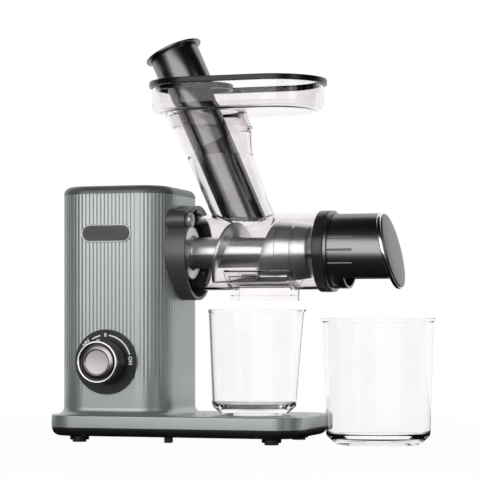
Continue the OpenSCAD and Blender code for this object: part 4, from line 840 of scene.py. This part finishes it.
# %% [markdown]
# ## Return spring, screws and grille
# These repeat, so node trees make them. The spring is a spiral with a round wire. The screws
# are one cross-recess screw on the places of the solid ones. The grille's slats lean, which
# keeps drips out and lets the fan's air through.

# %% Wind the return spring
spring_lo, spring_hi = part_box("return_spring")
coil, given = open_tree("coil", {"Finish": finishes["steel"], "Turns": 6.0, "Radius": 0.003, "Wire": 0.0005,
                                 "Length": 0.01})
helix = node(coil, "GeometryNodeCurveSpiral", {"Resolution": 24, "Rotations": given["Turns"],
                                               "Start Radius": given["Radius"], "End Radius": given["Radius"],
                                               "Height": given["Length"]}).outputs[0]
wire = node(coil, "GeometryNodeCurvePrimitiveCircle", {"Resolution": 10, "Radius": given["Wire"]}, mode="RADIUS")
rod = node(coil, "GeometryNodeCurveToMesh", {"Curve": helix, "Profile Curve": wire.outputs[0], "Fill Caps": True})
close_tree(coil, rod.outputs[0], given["Finish"])
WIRE = 0.5 * MM
spring_mesh = grow("return_spring_wound", coil, {
    "Finish": finishes["steel"], "Turns": 6.0, "Wire": WIRE, "Length": spring_hi.x - spring_lo.x - 2 * WIRE,
    "Radius": (spring_hi.y - spring_lo.y) / 2 - WIRE}, spots([]))
spring_mid = (spring_lo + spring_hi) / 2
spring_mesh.transform(frame_at((spring_lo.x + WIRE, spring_mid.y, spring_mid.z), (1, 0, 0)))
spring = dress(bpy.data.objects.new("return_spring_wound", spring_mesh), finishes["steel"], "base", ["return_spring"],
               sharp=60)
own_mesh(spring)

# %% Drive the screws
screw, given = open_tree("cross_screws", {"Finish": finishes["steel"], "Head": 0.0028, "Head High": 0.002,
                                          "Shank": 0.0015, "Long": 0.016, "Slot": 0.0032, "Slot Wide": 0.0007,
                                          "Turn": (0.0, 0.0, 0.0)})
head = node(screw, "GeometryNodeMeshCone", {"Vertices": 32, "Side Segments": 1, "Radius Top": reckon(
    screw, "MULTIPLY", given["Head"], 0.86), "Radius Bottom": given["Head"], "Depth": given["Head High"]}).outputs["Mesh"]
slot_size = node(screw, "ShaderNodeCombineXYZ", {0: given["Slot"], 1: given["Slot Wide"], 2: given["Head High"]})
slot_turned = node(screw, "ShaderNodeCombineXYZ", {0: given["Slot Wide"], 1: given["Slot"], 2: given["Head High"]})
cuts = [node(screw, "GeometryNodeTransform", {
    "Geometry": node(screw, "GeometryNodeMeshCube", {"Size": size.outputs[0]}).outputs["Mesh"],
    "Translation": node(screw, "ShaderNodeCombineXYZ", {2: reckon(screw, "MULTIPLY", given["Head High"], 0.8)}).outputs[0]
}).outputs[0] for size in (slot_size, slot_turned)]
recess = node(screw, "GeometryNodeMeshBoolean", {}, operation="UNION", solver="MANIFOLD")
for cut in cuts:
    screw.links.new(cut, recess.inputs[1])
crossed = node(screw, "GeometryNodeMeshBoolean", {0: head, 1: recess.outputs[0]}, operation="DIFFERENCE",
               solver="MANIFOLD").outputs[0]
shank = node(screw, "GeometryNodeTransform", {
    "Geometry": node(screw, "GeometryNodeMeshCylinder", {"Vertices": 20, "Radius": given["Shank"],
                                                         "Depth": given["Long"]}).outputs["Mesh"],
    "Translation": node(screw, "ShaderNodeCombineXYZ", {2: reckon(screw, "MULTIPLY", given["Long"], -0.5)}).outputs[0]
}).outputs[0]
one = node(screw, "GeometryNodeJoinGeometry")
screw.links.new(crossed, one.inputs[0])
screw.links.new(shank, one.inputs[0])
many = node(screw, "GeometryNodeInstanceOnPoints", {"Points": given["Geometry"], "Instance": one.outputs[0],
                                                    "Rotation": given["Turn"]}).outputs[0]
close_tree(screw, many, given["Finish"])


def screws(name, solid, axis, turn):
    """Screws in the places of a solid's screws, with their heads against axis (0 for x, 2 for z)."""
    boxes = islands(solid)
    places, lengths = [], []
    for low, high in boxes:
        middle = (low + high) / 2
        middle[axis] = low[axis] + 1 * MM
        places.append(middle)
        lengths.append(high[axis] - low[axis] - 1 * MM)
    mesh = grow(name, screw, {"Finish": finishes["steel"], "Head": 2.75 * MM, "Head High": 2 * MM, "Shank": 1.5 * MM,
                              "Long": min(lengths), "Slot": 3.4 * MM, "Slot Wide": 0.8 * MM, "Turn": turn}, spots(places))
    dress(bpy.data.objects.new(name, mesh), finishes["steel"], "base", [solid], sharp=30)
    print(name, len(boxes), "screws")


screws("cover_screws_crossed", "cover_screws", 2, (math.pi, 0.0, 0.0))
screws("case_screws_crossed", "case_screws", 0, (0.0, -math.pi / 2, 0.0))

# %% Louvre the rear grille
grille_lo, grille_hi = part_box("rear_grille")
louvre, given = open_tree("louvre", {"Finish": finishes["black_plastic"], "Wide": 0.05, "High": 0.04, "Thick": 0.003,
                                     "Edge": 0.004, "Slats": 9, "Slat": 0.0012, "Lean": 0.6})


def sized(tree, x, y, z):
    return node(tree, "GeometryNodeMeshCube", {"Size": node(tree, "ShaderNodeCombineXYZ", {0: x, 1: y, 2: z}).outputs[0]}
                ).outputs["Mesh"]


inner_wide = reckon(louvre, "MULTIPLY_ADD", given["Edge"], -2.0, given["Wide"])
inner_high = reckon(louvre, "MULTIPLY_ADD", given["Edge"], -2.0, given["High"])
rim = node(louvre, "GeometryNodeMeshBoolean", {
    0: sized(louvre, given["Wide"], given["Thick"], given["High"]),
    1: sized(louvre, inner_wide, 1.0, inner_high)}, operation="DIFFERENCE", solver="MANIFOLD").outputs[0]
blade_box = sized(louvre, reckon(louvre, "ADD", inner_wide, 0.001), reckon(louvre, "MULTIPLY", given["Thick"], 1.1), given["Slat"])
leaning = node(louvre, "GeometryNodeTransform", {"Geometry": blade_box, "Rotation": node(
    louvre, "ShaderNodeCombineXYZ", {0: given["Lean"]}).outputs[0]}).outputs[0]
gap = reckon(louvre, "DIVIDE", inner_high, reckon(louvre, "ADD", given["Slats"], 0.0))
start = reckon(louvre, "MULTIPLY_ADD", inner_high, -0.5, reckon(louvre, "MULTIPLY", gap, 0.5))
ladder = node(louvre, "GeometryNodeMeshLine", {
    "Count": given["Slats"], "Start Location": node(louvre, "ShaderNodeCombineXYZ", {2: start}).outputs[0],
    "Offset": node(louvre, "ShaderNodeCombineXYZ", {2: gap}).outputs[0]}, mode="OFFSET").outputs[0]
slats = node(louvre, "GeometryNodeInstanceOnPoints", {"Points": ladder, "Instance": leaning}).outputs[0]
whole = node(louvre, "GeometryNodeJoinGeometry")
louvre.links.new(rim, whole.inputs[0])
louvre.links.new(slats, whole.inputs[0])
close_tree(louvre, whole.outputs[0], given["Finish"])
grille = grow("rear_grille_louvred", louvre, {
    "Finish": finishes["black_plastic"], "Wide": grille_hi.x - grille_lo.x, "High": grille_hi.z - grille_lo.z,
    "Thick": grille_hi.y - grille_lo.y, "Edge": 4 * MM, "Slats": 9, "Slat": 1.3 * MM, "Lean": 0.55}, spots([]))
grille.transform(Matrix.Translation((grille_lo + grille_hi) / 2))
dress(bpy.data.objects.new("rear_grille_louvred", grille), finishes["black_plastic"], "base", ["rear_grille"],
      sharp=30)

# %% [markdown]
# ## Dress the solids that stay
# A solid whose shape is already right only needs its finish. The record says which finish
# each one takes, so one loop dresses them all; two silver parts of the knob and the badge
# take a finer one of their own.

# %% Dress the remaining solids
own_finish = {"knob_cap": "spun_silver", "cap_disc": "disc_grey", "badge_plate": "badge_dark"}
slot_of = {row["node"]: row["material_slot"] for row in frame["record"]["subparts"]}
for name, solid in frame["nodes"].items():
    paint = finishes[own_finish.get(name, slot_of[name])]
    if not solid.material_slots:
        solid.data.materials.append(paint)
    for place in solid.material_slots:
        place.material = paint
print("dressed", len(frame["nodes"]), "solids")

# %% [markdown]
# ## Studio
# The juicer stands on a pale floor in front of white. Two soft boxes light it: a tall one
# beside the camera and a wider, weaker one low on the right. Satin metal only looks like
# metal when there is something dark to mirror, so two black sheets stand in the room that
# nothing but a reflection can see: a half round screen behind the camera and a sheet on
# the floor before it.

# %% World and floor
scene = bpy.context.scene
scene.view_settings.view_transform = "Standard"
AMBIENT = 0.25


def seen_by(tree, *rays):
    """1 for the kinds of ray that are named, otherwise 0."""
    path = node(tree, "ShaderNodeLightPath")
    total = path.outputs[rays[0]]
    for ray in rays[1:]:
        total = node(tree, "ShaderNodeMath", {0: total, 1: path.outputs[ray]}, operation="MAXIMUM").outputs[0]
    return total


world = bpy.data.worlds.new("studio_air")
world.use_nodes = True
scene.world = world
air = world.node_tree
air.nodes.clear()
soft = node(air, "ShaderNodeBackground", {"Color": (1, 1, 1, 1), "Strength": AMBIENT})
bare = node(air, "ShaderNodeBackground", {"Color": (1, 1, 1, 1), "Strength": 1.0})
pick = node(air, "ShaderNodeMixShader", {0: seen_by(air, "Is Camera Ray", "Is Glossy Ray", "Is Transmission Ray"),
                                         1: soft.outputs[0], 2: bare.outputs[0]})
node(air, "ShaderNodeOutputWorld", {"Surface": pick.outputs[0]})

pale, floor_tree, floor_place = new_finish("pale_floor")
cloudy = node(floor_tree, "ShaderNodeTexNoise", {"Vector": floor_place, "Scale": 3.0})
paper = node(floor_tree, "ShaderNodeBsdfDiffuse", {
    "Color": ramp(floor_tree, cloudy.outputs["Fac"], [(0.3, (0.80, 0.80, 0.80, 1)), (0.7, (0.82, 0.82, 0.82, 1))])})
glow = node(floor_tree, "ShaderNodeEmission", {"Color": (1, 1, 1, 1), "Strength": 1.0})
away = node(floor_tree, "ShaderNodeVectorMath", {0: floor_place}, operation="LENGTH").outputs["Value"]
fading = node(floor_tree, "ShaderNodeMapRange", {"Value": away, "From Min": 0.2, "From Max": 0.8, "To Min": 0.97,
                                                 "To Max": 1.0}, interpolation_type="SMOOTHSTEP")
part_glow = node(floor_tree, "ShaderNodeMath", {
    0: seen_by(floor_tree, "Is Camera Ray", "Is Glossy Ray", "Is Transmission Ray"), 1: fading.outputs[0]},
    operation="MULTIPLY")
seal(floor_tree, node(floor_tree, "ShaderNodeMixShader", {
    0: part_glow.outputs[0], 1: paper.outputs[0], 2: glow.outputs[0]}).outputs[0])


def sheet(name, points, faces, finish, rays):
    """A stage sheet that only the named kinds of ray can see."""
    mesh = bpy.data.meshes.new(name)
    mesh.from_pydata(points, [], faces)
    mesh.materials.append(finish)
    made = bpy.data.objects.new(name, mesh)
    scene.collection.objects.link(made)
    for ray in ("camera", "diffuse", "glossy", "transmission", "volume_scatter", "shadow"):
        setattr(made, "visible_" + ray, ray in rays)
    return made


WIDE = 30.0
EVERY = ("camera", "diffuse", "glossy", "transmission", "shadow")
sheet("floor", [(-WIDE, -WIDE, 0), (WIDE, -WIDE, 0), (WIDE, WIDE, 0), (-WIDE, WIDE, 0)], [(0, 1, 2, 3)], pale, EVERY)
print("world and floor are set, ambient", AMBIENT)

# %% Camera
VIEW_AZIMUTH = math.radians(17.12)
camera_data = bpy.data.cameras.new("camera")
camera_data.lens, camera_data.sensor_width = 146.307, 36.0
camera_data.shift_y = 0.18404
camera = bpy.data.objects.new("camera", camera_data)
camera.location = (0.6468, -1.9237, 0.1167)
camera.rotation_euler = (math.radians(90), 0, VIEW_AZIMUTH)
scene.collection.objects.link(camera)
scene.camera = camera
print("camera at", tuple(round(v, 3) for v in camera.location))

# %% Black screens that only reflections see
black, black_tree, black_place = new_finish("black_cloth")
felt = node(black_tree, "ShaderNodeTexNoise", {"Vector": black_place, "Scale": 4.0})
cloth = node(black_tree, "ShaderNodeBsdfDiffuse", {
    "Color": ramp(black_tree, felt.outputs["Fac"], [(0.3, (0.012, 0.012, 0.012, 1)), (0.7, (0.018, 0.018, 0.018, 1))])})
bounced = node(black_tree, "ShaderNodeMath", {
    0: node(black_tree, "ShaderNodeLightPath").outputs["Glossy Depth"], 1: 0.5}, operation="GREATER_THAN")
seal(black_tree, node(black_tree, "ShaderNodeMixShader", {
    0: bounced.outputs[0], 1: node(black_tree, "ShaderNodeBsdfTransparent").outputs[0], 2: cloth.outputs[0]}).outputs[0])
SCREEN_RADIUS = 4.0
CENTRE = Vector((0.06, 0.0, 0.2))


def toward(azimuth, elevation, distance):
    """A point seen from the juicer: azimuth 0 is the front, positive to the right."""
    a, e = math.radians(azimuth), math.radians(elevation)
    return CENTRE + distance * Vector((math.sin(a) * math.cos(e), -math.cos(a) * math.cos(e), math.sin(e)))


COLUMNS, ROWS = 24, 8
screen_points = [toward(-100 + 232 * i / COLUMNS, -2 + 124 * j / ROWS, SCREEN_RADIUS)
                 for i in range(COLUMNS + 1) for j in range(ROWS + 1)]
screen_faces = [(i * (ROWS + 1) + j, (i + 1) * (ROWS + 1) + j, (i + 1) * (ROWS + 1) + j + 1, i * (ROWS + 1) + j + 1)
                for i in range(COLUMNS) for j in range(ROWS)]
sheet("screen", [tuple(p) for p in screen_points], screen_faces, black, ("glossy", "transmission"))
ahead, right = Vector((-math.sin(VIEW_AZIMUTH), math.cos(VIEW_AZIMUTH), 0)), Vector((math.cos(VIEW_AZIMUTH), math.sin(VIEW_AZIMUTH), 0))
for name, near, far, rays in (("near_mat", -0.4, 0.1, ("glossy",)), ("far_mat", 0.1, 4.0, ("glossy", "transmission"))):
    mat = [right * x - ahead * y + Vector((0, 0, 0.002)) for x, y in ((-4, near), (4, near), (4, far), (-4, far))]
    sheet(name, [tuple(p) for p in mat], [(0, 1, 2, 3)], black, rays)
# Two black cards under the auger and under the end cap paint a dark reflection on their lower sides: the auger's card
# is seen only through the clear chamber, the cap's only in its gloss.
for name, x0, x1, z, rays in (("auger_card", 0.005, 0.15, 0.151, ("transmission",)), ("cap_card", 0.15, 0.27, 0.131, ("glossy",))):
    card = [(x0, -0.06, z), (x1, -0.06, z), (x1, 0.06, z), (x0, 0.06, z)]
    sheet(name, card, [(0, 1, 2, 3)], black, rays)
print("screen and mat stand", SCREEN_RADIUS, "m away")


# %% Soft boxes
def soft_box(name, azimuth, elevation, distance, wide, high, radiance):
    """A rectangular lamp that faces the juicer; wide and high are angles in degrees."""
    data = bpy.data.lights.new(name, "AREA")
    data.shape = "RECTANGLE"
    data.size = 2 * distance * math.tan(math.radians(wide / 2))
    data.size_y = 2 * distance * math.tan(math.radians(high / 2))
    data.energy = radiance * math.pi * data.size * data.size_y
    lamp = bpy.data.objects.new(name, data)
    lamp.location = toward(azimuth, elevation, distance)
    lamp.rotation_euler = (CENTRE - lamp.location).to_track_quat("-Z", "Y").to_euler()
    scene.collection.objects.link(lamp)
    print(name, "watts", round(data.energy, 1))


soft_box("wide_box", -7, 3, 1.6, 76, 70, 0.5)
soft_box("front_box", -6, 3, 1.3, 56, 58, 1.5)
soft_box("right_box", 62, 8, 2.5, 18, 40, 1.2)
